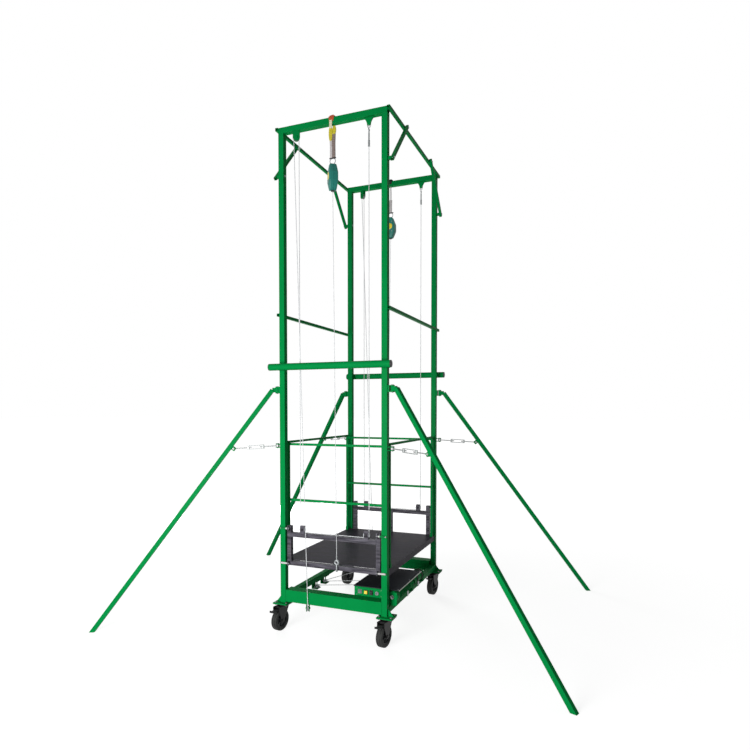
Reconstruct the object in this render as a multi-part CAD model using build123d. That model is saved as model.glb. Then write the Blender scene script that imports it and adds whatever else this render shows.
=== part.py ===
from build123d import *
from math import atan2, asin, cos, degrees, hypot, pi, radians, sin, sqrt
import os

os.makedirs("parts", exist_ok=True)

# Electric lifting platform: a wheeled tower frame whose working platform is hoisted by two ropes.
# Millimetres, +Z up, +X right, +Y rear. The origin is on the ground below the tower's centre.

# Tower frame
FRAME_GAP = 12
POST_PITCH_Y = 1160
POST_SIZE = 40
POST_WALL = 2
TOWER_HEIGHT = 3522
TOP_BEAM = 40
SIDE_BAR = 20
BAR_WALL = 2
SIDE_BAR_OVERHANG = 8
BRACE_DROP = 327
BRACE_TOP_Y = 295
BRACE_TAIL = 20
MID_SIDE_Z = 2222
MID_BAR_R = 24
MID_BAR_Z = 1862
MID_BAR_LENGTH = 900
MID_STANDOFF = 30
MID_PLATE = 8
MID_PLATE_HEIGHT = 40
MID_COPE = 12
BOLT_R = 4
BOLT_HEAD_R = 7.5
BOLT_HEAD = 5
HOLE_GAP = 0.1

# Base
CORNER_PLATE_X = 110
CORNER_PLATE_Y = 110
CORNER_PLATE = 8
CORNER_OFFSET = 10
GUSSET_RUN = 40
GUSSET_RISE = 51
GUSSET = 6
END_BEAM_DEPTH = 80
END_BEAM_HEIGHT = 85
END_BEAM_WALL = 3
END_BEAM_RISE = 8
SIDE_BEAM = 40
SIDE_BEAM_RISE = 14
SUPPORT_BAR = 30
SUPPORT_BAR_Y = (-450, -250)

# Casters
CASTER_HEIGHT = 186
CASTER_YAW = -8
CASTER_TRAIL = 38
MOUNT_PLATE_X = 110
MOUNT_PLATE_Y = 90
MOUNT_PLATE = 6
RACE_R = 35
RACE = 6
KINGPIN_R = 8
KINGPIN_NUT_R = 12
KINGPIN_NUT = 9
CROWN = 13.6
CROWN_GAP = 0.4
NUT_GAP = 1
CROWN_FRONT = 24
CROWN_BACK = 60
PEDAL_REACH = 72
PEDAL_DROP = 24
PEDAL_PIN_R = 3
PEDAL_SLEEVE_R = 6
PEDAL_LENGTH = 56
PEDAL_ARM = 8
PEDAL_LIP = 10
PEDAL_WIDTH = 40
PEDAL = 6
FORK_LEG = 5
FORK_CLEAR = 1.5
FORK_FOOT_R = 16
WHEEL_R = 75
WHEEL_WIDTH = 45
TYRE = 22
TYRE_ROUND = 8
HUB_RECESS = 3.5
AXLE_R = 6
AXLE_HEAD_R = 10
RUNNING_GAP = 0.08

# Outriggers
HINGE_OFFSET = 30
HINGE_PIN_R = 6
HINGE_HEAD_R = 10
HINGE_HEAD = 4
EAR_R = 15
STRUT = 30
STRUT_WALL = 2
STRUT_TOP_Z = 1705
STRUT_START = 35
STRUT_PLUG = 45
STRUT_EAR = 6
STRUT_EAR_GAP = 34
KNUCKLE_R = 12
HINGE_WEB = 12
NECK = 20
NECK_HEIGHT = 32
TIE_Z = 1310
TIE_EAR = 5
TIE_EAR_GAP = 18
TIE_EYE_R = 13
TIE_LUG_Z = 1306
TIE_LUG = 5
TIE_LUG_REACH = 26
TIE_LUG_WIDTH = 26
TIE_END_R = 10
TIE_END_WIDTH = 11
TIE_PIN_R = 4
TIE_ROD_R = 5
TURNBUCKLE_LENGTH = 120
TURNBUCKLE_COLLAR = 14
TURNBUCKLE_COLLAR_R = 16
TURNBUCKLE_SIDE_R = 4
TURNBUCKLE_SIDE_INSET = 1.5
SLIDE_GAP = 0.3
FOOT_X = 1612
FOOT_Y = 1142
NEAR_FOOT_X = 1600
NEAR_FOOT_Y = 1025

# Ropes and sheaves
ROPE_R = 2.5
SHEAVE_PITCH_R = 18
SHEAVE_R = 23
SHEAVE_WIDTH = 14
GROOVE_FLOOR = 7
GROOVE_MOUTH = 10
GROOVE_GAP = 1
SHEAVE_PIN_R = 4
CHEEK = 4
CHEEK_WIDTH = 34
BRACKET_WIDTH = 48
CHEEK_GAP = 0.4
FALL_LEFT_X = -254
FALL_RIGHT_X = 268
FALL_Y = 577
TOP_ROPE_DROP = 24
TOP_SHEAVE_YAW = 36
TOP_CORNER_SPACING = 36.6
BASE_ROPE = (-180, 612, 158)
TURN_ROPE_OUT = 6
TURN_ROPE_Z = 160
ROPE_EXIT_Y = {-1: -66, 1: 49}
FALL_JOIN = 1
ANCHOR_TOP_WIDTH = 78
ANCHOR_WAIST = 36
ANCHOR_LOW_WIDTH = 24
ANCHOR_DROP = 51
ANCHOR = 8
ANCHOR_FITTING = 136
ANCHOR_FITTING_R = 6
ANCHOR_SLEEVE_R = 9
ANCHOR_SLEEVE = 40
TURN_BRACKET = 5
TURN_BRACKET_LENGTH = 60
TURN_BRACKET_BACK = 6
TURN_BRACKET_DROP = 64
TURN_COLLAR_R = 6.5
TURN_COLLAR = 4
TURN_PIN_OUT = 1.5

# Drive
DRUM_OUT = 7
DRUM_Z = 304
DRUM_R = 38
DRUM_FLANGE_R = 44
DRUM_FLANGE = 5
DRUM_SHAFT_R = 15
DRUM_Y = (-150, 65)
DRUM_ROPE_GAP = 0.4
PEDESTAL_HALF = 34
PEDESTAL_FRONT_Y = (-185, -155)
PEDESTAL_REAR_Y = (69, 105)
SHAFT_END_GAP = 2
MOTOR_R = 40
MOTOR_LENGTH = 314
GEARBOX = 15
GEARBOX_R = 44
BEARING_PLATE = 8
SHAFT_END_R = 14
SHAFT_END = 4
STRAP = 3
STRAP_DROP = 2
BOX_WIDTH = 220
BOX_GAP = 10
BOX_REAR_Y = -30
BOX_RISE = 14
BOX_HEIGHT = 88
BOX_WALL = 2
LID_OVERHANG = 5
LID_PAST_BEAM = 58
LID = 7
TRIM = 3
PANEL_INSET = 15
PANEL_Z = (292, 345)
PANEL = 3
CONTROL_Z = 318
DISPLAY_X = 28
DISPLAY_SIZE = 30
DISPLAY = 3
BUTTON_X = 74
BUTTON_SIZE = 22
BUTTON_STROKE = 4
BUTTON_DEPTH = 7.5
BEZEL = 7
BEZEL_RIM = 3
CONTROL_GAP = 0.4
STROKE_GAP = 0.5
ROCKER_X = 112
ROCKER_WIDTH = 16
ROCKER_HEIGHT = 24
ROCKER_DEPTH = 6
ROCKER_CLEAR = 4
ROCKER_END_GAP = 1.5
INLET_X = 155
INLET_R = 13
INLET = 8
INLET_BORE_R = 8
INLET_BORE = 6

# Platform
FRAME_TUBE = 30
FRAME_WALL = 2
FRAME_Z = 465
FRAME_WIDTH = 706
FRAME_INSET = 8
FRAME_POST_TOP = 745
FRAME_BAR_Z = 668
DECK_WIDTH = 800
DECK_LENGTH = 1116
DECK = 3
DECK_LIP = 40
CROSS_PITCH = 280
SHEAVE_LIFT = 25
PLATFORM_CHEEK_TOP = 27
RAIL = 16
RAIL_WALL = 1.5
RAIL_INSET_X = 12
RAIL_INSET_Y = 50
RAIL_HEIGHT = 844
MID_RAIL_HEIGHT = 411
SOCKET = 3
SOCKET_HEIGHT = 33
GUIDE_R = 6.5
GUIDE_GAP = 0.5
GUIDE_INNER = 40
GUIDE_OUTER = 10
GUIDE_Z = (480, 728)
GUIDE_BOLT_R = 4
GUIDE_BOLT_END = 3
GUIDE_COLLAR_R = 6
GUIDE_LUG = 6
GUIDE_LUG_INSET = 18
GUIDE_LUG_HALF = 14
GUIDE_LUG_PAST = 8

# Fall arresters and lifelines
ARRESTER_X = {-1: 5, 1: -6}
ARRESTER_TURN = {-1: -53, 1: 0}
ARRESTER_WIDTH = 84
ARRESTER_DEPTH = 62
ARRESTER_HEIGHT = 176
ARRESTER_HEAD_WIDTH = 44
ARRESTER_SHOULDER = 62
ARRESTER_FOOT_WIDTH = 44
ARRESTER_TAPER = 58
ARRESTER_ROUND = 12
NOZZLE_R = 11
NOZZLE = 6
SLING = 3
SLING_WIDTH = 45
SLING_TAIL = 30
SLING_TAIL_DEPTH = 6
SLING_DROP = 22
HOOK_WIDTH = 58
HOOK_DEPTH = 14
HOOK_HEIGHT = 85
HOOK_RIM = 13
WEBBING_WIDTH = 28
WEBBING_DEPTH = 5
WEBBING_LENGTH = 120
SHACKLE_R = 8
SHACKLE = 33
LIFELINE_R = 2
LIFELINE_X = {-1: 40, 1: -50}
LIFELINE_FOOT_Z = 545
LIFELINE_STANDOFF = 13
SNAP_R = 21
SNAP_BORE_R = 12
SNAP_DEPTH = 10
EYE_R = 6
EYE_HEIGHT = 85
EYE_ARM = 12

# Places worked out from the driving sizes
frame_half = FRAME_WIDTH / 2
post_x = frame_half + FRAME_GAP + POST_SIZE / 2
post_y = POST_PITCH_Y / 2
in_x = post_x - POST_SIZE / 2
out_x = post_x + POST_SIZE / 2
in_y = post_y - POST_SIZE / 2
out_y = post_y + POST_SIZE / 2
plate_top = CASTER_HEIGHT + CORNER_PLATE
corner_x = post_x + CORNER_OFFSET
end_beam_z = plate_top + END_BEAM_RISE
end_beam_top = end_beam_z + END_BEAM_HEIGHT
end_beam_back = out_y - END_BEAM_DEPTH
side_beam_z = plate_top + SIDE_BEAM_RISE
side_beam_top = side_beam_z + SIDE_BEAM
top_z = TOWER_HEIGHT - TOP_BEAM
side_bar_z = TOWER_HEIGHT - SIDE_BAR
bar_out_x = out_x + SIDE_BAR
hinge_x = out_x + HINGE_OFFSET
mid_y = out_y + MID_STANDOFF + MID_BAR_R
frame_in_x = frame_half - FRAME_TUBE
frame_out_y = out_y - FRAME_INSET
frame_in_y = frame_out_y - FRAME_TUBE
deck_z = FRAME_Z + FRAME_TUBE
deck_top = deck_z + DECK
frame_bar_top = FRAME_BAR_Z + FRAME_TUBE
platform_sheave_z = frame_bar_top + SHEAVE_LIFT
cross_rope_z = platform_sheave_z - SHEAVE_PITCH_R
fall_end_z = platform_sheave_z + FALL_JOIN
top_rope_z = top_z - TOP_ROPE_DROP
top_sheave_z = top_rope_z - SHEAVE_PITCH_R
anchor_low_z = top_z - ANCHOR_DROP
anchor_rope_z = anchor_low_z - ANCHOR_FITTING
rail_top_z = deck_top + RAIL_HEIGHT
drum_rope_r = DRUM_R + ROPE_R + DRUM_ROPE_GAP
cheek_face = SHEAVE_WIDTH / 2 + CHEEK_GAP
cheek_out = cheek_face + CHEEK
drum_x = out_x + DRUM_OUT
turn_rope_x = -out_x - TURN_ROPE_OUT
guide_x = (post_x - GUIDE_INNER, post_x + GUIDE_OUTER)
guide_lug_x = frame_half - GUIDE_LUG_INSET
rail_x = DECK_WIDTH / 2 - RAIL_INSET_X
rail_y = DECK_LENGTH / 2 - RAIL_INSET_Y
box_x = (in_x - BOX_GAP - BOX_WIDTH, in_x - BOX_GAP)
lid_x = (box_x[0] - LID_OVERHANG, out_x + LID_PAST_BEAM)
panel_x = (box_x[0] + PANEL_INSET, box_x[1] - PANEL_INSET)
display_x = panel_x[0] + DISPLAY_X
button_x = panel_x[0] + BUTTON_X
rocker_x = panel_x[0] + ROCKER_X
inlet_x = panel_x[0] + INLET_X
box_z = side_beam_top + BOX_RISE
box_top = box_z + BOX_HEIGHT
panel_y = -end_beam_back - PANEL
crown_top = CASTER_HEIGHT - MOUNT_PLATE - RACE - CROWN_GAP
crown_z = crown_top - CROWN
pedal_z = crown_top - PEDAL_DROP
leg_in = WHEEL_WIDTH / 2 + FORK_CLEAR
leg_out = leg_in + FORK_LEG
AT_START = (Align.CENTER, Align.CENTER, Align.MIN)
SIDES = (-1, 1)
CORNERS = {"front_left": (-1, -1), "front_right": (1, -1), "rear_left": (-1, 1), "rear_right": (1, 1)}
END_NAMES = {-1: "front", 1: "rear"}


def block(x0, x1, y0, y1, z0, z1):
    """Box between two corners, given in any order."""
    box = Box(abs(x1 - x0), abs(y1 - y0), abs(z1 - z0))
    return Pos((x0 + x1) / 2, (y0 + y1) / 2, (z0 + z1) / 2) * box


def tube(x, y, z, along, wall):
    """Rectangular tube with open ends, between pairs of limits."""
    x, y, z = sorted(x), sorted(y), sorted(z)
    inset = [0 if axis == along else wall for axis in "xyz"]
    limits = []
    for (low, high), step in zip((x, y, z), inset):
        limits += [low + step, high - step]
    return block(*x, *y, *z) - block(*limits)


def slanted_tube(start, end, size, wall, side, plug=0):
    """Square tube between two points, closed by a plug at its end."""
    run = Vector(end) - Vector(start)
    bore_size = size - 2 * wall
    outer = Box(size, size, run.length, align=AT_START)
    bore = Box(bore_size, bore_size, run.length - plug, align=AT_START)
    return Plane(origin=start, x_dir=side, z_dir=run) * (outer - bore)


def rod(start, end, radius):
    """Round bar between two points."""
    run = Vector(end) - Vector(start)
    return Plane(origin=start, z_dir=run) * Cylinder(radius, run.length, align=AT_START)


def bolt(start, end, radius, head_r, head):
    """Shank with a head outside each of the two points."""
    start, end = Vector(start), Vector(end)
    past = (end - start).normalized() * head
    shank = rod(start - past, end + past, radius)
    return shank + rod(start - past, start, head_r) + rod(end, end + past, head_r)


def plate(outline, x0, x1):
    """Plate of a Y-Z outline between two X values."""
    face = make_face(Plane.YZ * Polyline(*outline, close=True))
    return Pos(x0, 0, 0) * extrude(face, x1 - x0, dir=(1, 0, 0))


def rope(points, radius, bends=None):
    """Round rope along straight runs, with an arc of the sheave's size at each corner."""
    path = FilletPolyline(*points, radius=bends) if bends else Line(*points)
    section = Plane(origin=path @ 0, z_dir=path % 0) * Circle(radius)
    solid = sweep(section, path)
    print(f"rope volume over section times length {solid.volume / (pi * radius**2 * path.length):.5f}")
    return solid


def bend_centre(before, corner, after):
    """Centre of the arc that rounds a rope's corner."""
    back = (Vector(before) - Vector(corner)).normalized()
    onward = (Vector(after) - Vector(corner)).normalized()
    half_angle = radians(back.get_angle(onward)) / 2
    return Vector(corner) + (back + onward).normalized() * (SHEAVE_PITCH_R / sin(half_angle))


def sheave(centre, axis):
    """Grooved rope wheel with a running bore."""
    half = SHEAVE_WIDTH / 2
    bore_r = SHEAVE_PIN_R + RUNNING_GAP
    floor_r = SHEAVE_PITCH_R - ROPE_R - GROOVE_GAP
    outline = Polyline(
        (bore_r, -half), (SHEAVE_R, -half), (SHEAVE_R, -GROOVE_MOUTH / 2), (floor_r, -GROOVE_FLOOR / 2),
        (floor_r, GROOVE_FLOOR / 2), (SHEAVE_R, GROOVE_MOUTH / 2), (SHEAVE_R, half), (bore_r, half),
        close=True)
    wheel = revolve(make_face(Plane.XZ * outline), Axis.Z)
    return Plane(origin=centre, z_dir=axis) * wheel


def cheeks(centre, axis, low, high, width, end_r=0):
    """Two plates beside a sheave with a level axis, between two heights, rounded about its pin if asked."""
    centre, axis = Vector(centre), Vector(axis)
    level = Vector(-axis.Y, axis.X, 0)
    frame = Plane(origin=centre, x_dir=level, z_dir=axis)
    hole = rod(centre - axis * SHEAVE_R, centre + axis * SHEAVE_R, SHEAVE_PIN_R + HOLE_GAP)
    middle = (low + high) / 2 - centre.Z
    pair = []
    for side in SIDES:
        beside = side * (cheek_face + CHEEK / 2)
        cheek = Pos(0, middle, beside) * Box(width, high - low, CHEEK)
        if end_r:
            cheek += Pos(0, 0, beside) * Cylinder(end_r, CHEEK)
        pair.append(frame * cheek - hole)
    return pair


def sheave_pin(centre, axis):
    """Pin through both cheeks of a sheave."""
    centre, axis = Vector(centre), Vector(axis)
    return bolt(centre - axis * cheek_out, centre + axis * cheek_out, SHEAVE_PIN_R, BOLT_HEAD_R, BOLT_HEAD)


def save(name, *pieces):
    """Write one node, each of its pieces a separate solid."""
    solids = [solid for piece in pieces for solid in piece.solids()]
    export_step(Compound(solids), f"parts/{name}.step")


# Knee braces: square tubes outboard of the top side bars, each on a spacer and two bolts
brace_x = bar_out_x + SIDE_BAR / 2
side_bar_mid = side_bar_z + SIDE_BAR / 2
braces = []
frame_bolts = []
brace_holes = []
for sx in SIDES:
    for sy in SIDES:
        low = Vector(sx * brace_x, sy * post_y, TOWER_HEIGHT - BRACE_DROP)
        high = Vector(sx * brace_x, sy * BRACE_TOP_Y, side_bar_mid)
        tail = (high - low).normalized() * BRACE_TAIL
        brace = slanted_tube(low - tail, high + tail, SIDE_BAR, BAR_WALL, (1, 0, 0))
        spacer = block(
            sx * out_x, sx * bar_out_x, low.Y - SIDE_BAR / 2, low.Y + SIDE_BAR / 2,
            low.Z - SIDE_BAR / 2, low.Z + SIDE_BAR / 2)
        for point, inner_x in ((low, in_x), (high, out_x)):
            near = (sx * inner_x, point.Y, point.Z)
            far = (sx * (bar_out_x + SIDE_BAR), point.Y, point.Z)
            hole = rod(near, far, BOLT_R + HOLE_GAP)
            brace -= hole
            spacer -= hole
            brace_holes.append(hole)
            frame_bolts.append(bolt(near, far, BOLT_R, BOLT_HEAD_R, BOLT_HEAD))
        braces += [brace, spacer]
save("knee_braces", *braces)

# Posts
posts = []
for sx in SIDES:
    for sy in SIDES:
        post = tube((sx * in_x, sx * out_x), (sy * in_y, sy * out_y), (plate_top, top_z), "z", POST_WALL)
        for hole in brace_holes:
            post -= hole
        posts.append(post)
save("posts", *posts)

# Top frame: two beams across the posts and two lighter side bars
top_frame = []
for side in SIDES:
    beam = tube((-out_x, out_x), (side * in_y, side * out_y), (top_z, TOWER_HEIGHT), "x", POST_WALL)
    bar_end = out_y + SIDE_BAR_OVERHANG
    bar = tube(
        (side * out_x, side * bar_out_x), (-bar_end, bar_end), (side_bar_z, TOWER_HEIGHT), "y", BAR_WALL)
    for hole in brace_holes:
        bar -= hole
    top_frame += [beam, bar]
save("top_frame", *top_frame)

# Tie bars at mid height: round push bars on coped stand-off plates, and side bars on the posts
tie_bars = []
plate_half = MID_PLATE_HEIGHT / 2
for side in SIDES:
    bar_ends = [(sx * MID_BAR_LENGTH / 2, side * mid_y, MID_BAR_Z) for sx in SIDES]
    push_bar = rod(*bar_ends, MID_BAR_R)
    tie_bars.append(push_bar - rod(*bar_ends, MID_BAR_R - BAR_WALL))
    tie_bars.append(tube(
        (side * out_x, side * bar_out_x), (-out_y, out_y),
        (MID_SIDE_Z, MID_SIDE_Z + SIDE_BAR), "y", BAR_WALL))
    for sx in SIDES:
        stand_off = block(
            sx * out_x, sx * (out_x + MID_PLATE), side * in_y, side * (mid_y - MID_COPE),
            MID_BAR_Z - plate_half, MID_BAR_Z + plate_half)
        tie_bars.append(stand_off - push_bar)
save("tie_bars", *tie_bars)

# Base frame: end beams, side beams, corner plates, gussets and the drive's support bars
base_frame = []
for side in SIDES:
    base_frame.append(tube(
        (-in_x, in_x), (side * end_beam_back, side * out_y), (end_beam_z, end_beam_top), "x", END_BEAM_WALL))
    base_frame.append(tube(
        (side * in_x, side * out_x), (-in_y, in_y), (side_beam_z, side_beam_top), "y", POST_WALL))
for sx in SIDES:
    for sy in SIDES:
        middle = Pos(sx * corner_x, sy * post_y, CASTER_HEIGHT + CORNER_PLATE / 2)
        base_frame.append(middle * Box(CORNER_PLATE_X, CORNER_PLATE_Y, CORNER_PLATE))
        outline = Polyline(
            (sx * out_x, plate_top), (sx * (out_x + GUSSET_RUN), plate_top),
            (sx * out_x, plate_top + GUSSET_RISE), close=True)
        face = make_face(Plane.XZ * outline)
        base_frame.append(Pos(0, sy * post_y - GUSSET / 2, 0) * extrude(face, GUSSET, dir=(0, 1, 0)))
for bar_y in SUPPORT_BAR_Y:
    base_frame.append(tube(
        (box_x[0], in_x), (bar_y - SUPPORT_BAR / 2, bar_y + SUPPORT_BAR / 2),
        (box_z - SUPPORT_BAR, box_z), "x", BAR_WALL))
save("base_frame", *base_frame)

# Casters: a fixed mount, a swivelling fork with its axle, a wheel and a brake pedal
mounts = []
for name, (sx, sy) in CORNERS.items():
    centre = Pos(sx * corner_x, sy * post_y, 0)
    plate_z = CASTER_HEIGHT - MOUNT_PLATE
    nut_top = crown_z - NUT_GAP
    mount = block(
        -MOUNT_PLATE_X / 2, MOUNT_PLATE_X / 2, -MOUNT_PLATE_Y / 2, MOUNT_PLATE_Y / 2, plate_z, CASTER_HEIGHT)
    mount += rod((0, 0, plate_z - RACE), (0, 0, plate_z), RACE_R)
    mount += rod((0, 0, nut_top - KINGPIN_NUT), (0, 0, plate_z), KINGPIN_R)
    mount += rod((0, 0, nut_top - KINGPIN_NUT), (0, 0, nut_top), KINGPIN_NUT_R)
    mounts.append(centre * mount)

    place = centre * Rot(0, 0, CASTER_YAW)
    arm_back = PEDAL_REACH + PEDAL_ARM
    outline = (
        (CROWN_FRONT, crown_top), (-arm_back, crown_top), (-arm_back, pedal_z - PEDAL_ARM),
        (-CASTER_TRAIL - FORK_FOOT_R, WHEEL_R), (-CASTER_TRAIL + FORK_FOOT_R, WHEEL_R),
        (CROWN_FRONT, crown_z))
    fork = block(-leg_in, leg_in, -CROWN_BACK, CROWN_FRONT, crown_z, crown_top)
    for side in SIDES:
        foot = (side * leg_in, -CASTER_TRAIL, WHEEL_R), (side * leg_out, -CASTER_TRAIL, WHEEL_R)
        low_x, high_x = sorted((side * leg_in, side * leg_out))
        fork += plate(outline, low_x, high_x) + rod(*foot, FORK_FOOT_R)
    axle = (-leg_out, -CASTER_TRAIL, WHEEL_R), (leg_out, -CASTER_TRAIL, WHEEL_R)
    fork += bolt(*axle, AXLE_R, AXLE_HEAD_R, BOLT_HEAD)
    fork += rod((-leg_out, -PEDAL_REACH, pedal_z), (leg_out, -PEDAL_REACH, pedal_z), PEDAL_PIN_R)
    fork -= rod((0, 0, crown_z), (0, 0, crown_top), KINGPIN_R + RUNNING_GAP)
    save(f"caster_fork_{name}", place * fork)

    half = WHEEL_WIDTH / 2
    hub_half = half - HUB_RECESS
    tyre_in = WHEEL_R - TYRE
    tread = rod((-half, 0, 0), (half, 0, 0), WHEEL_R) - rod((-half, 0, 0), (half, 0, 0), tyre_in)
    rounds = tread.edges().filter_by(GeomType.CIRCLE)
    tread = fillet([edge for edge in rounds if edge.radius > tyre_in + TYRE / 2], TYRE_ROUND)
    hub = rod((-hub_half, 0, 0), (hub_half, 0, 0), tyre_in)
    hub -= rod((-hub_half, 0, 0), (hub_half, 0, 0), AXLE_R + RUNNING_GAP)
    rolling = place * Pos(0, -CASTER_TRAIL, WHEEL_R)
    save(f"caster_wheel_{name}", rolling * tread, rolling * hub)

    sleeve_half = leg_in - FORK_CLEAR
    pedal_end = -PEDAL_REACH - PEDAL_LENGTH
    sleeve_ends = (-sleeve_half, -PEDAL_REACH, pedal_z), (sleeve_half, -PEDAL_REACH, pedal_z)
    pedal = rod(*sleeve_ends, PEDAL_SLEEVE_R)
    pedal += block(
        -PEDAL_WIDTH / 2, PEDAL_WIDTH / 2, pedal_end, -PEDAL_REACH, pedal_z - PEDAL / 2, pedal_z + PEDAL / 2)
    pedal += block(
        -PEDAL_WIDTH / 2, PEDAL_WIDTH / 2, pedal_end, pedal_end + PEDAL, pedal_z, pedal_z + PEDAL_LIP)
    pedal -= rod(*sleeve_ends, PEDAL_PIN_R + RUNNING_GAP)
    save(f"brake_pedal_{name}", place * pedal)
save("caster_mounts", *mounts)

# Outriggers: a slanted strut and a turnbuckle tie that swing together about upright pins on the post
ears = []
for name, (sx, sy) in CORNERS.items():
    near_foot = name == "front_right"
    run_x = (NEAR_FOOT_X if near_foot else FOOT_X) - hinge_x
    run_y = (NEAR_FOOT_Y if near_foot else FOOT_Y) - post_y
    reach = hypot(run_x, run_y)
    place = Pos(sx * hinge_x, sy * post_y, 0) * Rot(0, 0, degrees(atan2(sy * run_y, sx * run_x)))

    for middle, gap, ear in ((STRUT_TOP_Z, STRUT_EAR_GAP, STRUT_EAR), (TIE_Z, TIE_EAR_GAP, TIE_EAR)):
        low = middle - gap / 2 - ear
        high = middle + gap / 2 + ear
        pin_ends = (sx * hinge_x, sy * post_y, low), (sx * hinge_x, sy * post_y, high)
        pin_hole = rod(*pin_ends, HINGE_PIN_R + HOLE_GAP)
        for ear_z in (low, high - ear):
            lug = block(
                sx * out_x, sx * hinge_x, sy * post_y - EAR_R, sy * post_y + EAR_R, ear_z, ear_z + ear)
            lug += rod((sx * hinge_x, sy * post_y, ear_z), (sx * hinge_x, sy * post_y, ear_z + ear), EAR_R)
            ears.append(lug - pin_hole)
        frame_bolts.append(bolt(*pin_ends, HINGE_PIN_R, HINGE_HEAD_R, HINGE_HEAD))
    ears.append(block(
        sx * out_x, sx * (out_x + HINGE_WEB), sy * post_y - EAR_R, sy * post_y + EAR_R,
        STRUT_TOP_Z - STRUT_EAR_GAP / 2, STRUT_TOP_Z + STRUT_EAR_GAP / 2))

    top = Vector(STRUT_START, 0, STRUT_TOP_Z)
    slope = (Vector(reach, 0, 0) - top).normalized()
    inward = Vector(slope.Z, 0, -slope.X)
    knuckle_half = STRUT_EAR_GAP / 2 - SLIDE_GAP
    knuckle_ends = (0, 0, STRUT_TOP_Z - knuckle_half), (0, 0, STRUT_TOP_Z + knuckle_half)
    strut = slanted_tube(
        top, Vector(reach, 0, 0) + slope * STRUT, STRUT, STRUT_WALL, (0, 1, 0), STRUT + STRUT_PLUG)
    strut -= block(reach - 2 * STRUT, reach + 2 * STRUT, -STRUT, STRUT, -2 * STRUT, 0)
    strut += block(
        0, STRUT_START, -NECK / 2, NECK / 2, STRUT_TOP_Z - NECK_HEIGHT / 2, STRUT_TOP_Z + NECK_HEIGHT / 2)
    strut += rod(*knuckle_ends, KNUCKLE_R)
    strut -= rod(*knuckle_ends, HINGE_PIN_R + RUNNING_GAP)
    lug_seat = top + slope * ((TIE_LUG_Z - STRUT_TOP_Z) / slope.Z)
    lug_frame = Plane(origin=lug_seat, x_dir=slope, z_dir=inward)
    tie_end = lug_seat + inward * (STRUT / 2 + TIE_LUG_REACH / 2)
    for side in SIDES:
        lug_y = side * (TIE_END_WIDTH / 2 + SLIDE_GAP + TIE_LUG / 2)
        lug = Box(TIE_LUG_WIDTH, TIE_LUG, TIE_LUG_REACH, align=AT_START)
        strut += lug_frame * (Pos(0, lug_y, STRUT / 2) * lug)
    pin_half = TIE_END_WIDTH / 2 + SLIDE_GAP + TIE_LUG
    pin_ends = tie_end - Vector(0, pin_half, 0), tie_end + Vector(0, pin_half, 0)
    strut -= rod(*pin_ends, TIE_PIN_R + HOLE_GAP)
    save(f"outrigger_{name}", place * strut)

    eye_half = TIE_EAR_GAP / 2 - SLIDE_GAP
    eye_ends = (0, 0, TIE_Z - eye_half), (0, 0, TIE_Z + eye_half)
    eye = Vector(0, 0, TIE_Z)
    along = (tie_end - eye).normalized()
    body_start = eye + along * ((tie_end - eye).length - TURNBUCKLE_LENGTH) / 2
    body_end = body_start + along * TURNBUCKLE_LENGTH
    collar = along * TURNBUCKLE_COLLAR
    tie = rod(*eye_ends, TIE_EYE_R)
    tie += rod(eye, body_start + collar * 2, TIE_ROD_R)
    tie += rod(body_end - collar * 2, tie_end, TIE_ROD_R)
    tie += rod(body_start, body_start + collar, TURNBUCKLE_COLLAR_R)
    tie += rod(body_end - collar, body_end, TURNBUCKLE_COLLAR_R)
    across = Vector(-along.Z, 0, along.X) * (TURNBUCKLE_COLLAR_R - TURNBUCKLE_SIDE_R - TURNBUCKLE_SIDE_INSET)
    for side in SIDES:
        offset = across * side
        tie += rod(body_start + collar / 2 + offset, body_end - collar / 2 + offset, TURNBUCKLE_SIDE_R)
    end_half = Vector(0, TIE_END_WIDTH / 2, 0)
    tie += rod(tie_end - end_half, tie_end + end_half, TIE_END_R)
    tie += rod(*pin_ends, TIE_PIN_R)
    tie -= rod(*eye_ends, HINGE_PIN_R + RUNNING_GAP)
    save(f"outrigger_tie_{name}", place * tie)
save("outrigger_hinges", *ears)

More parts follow.
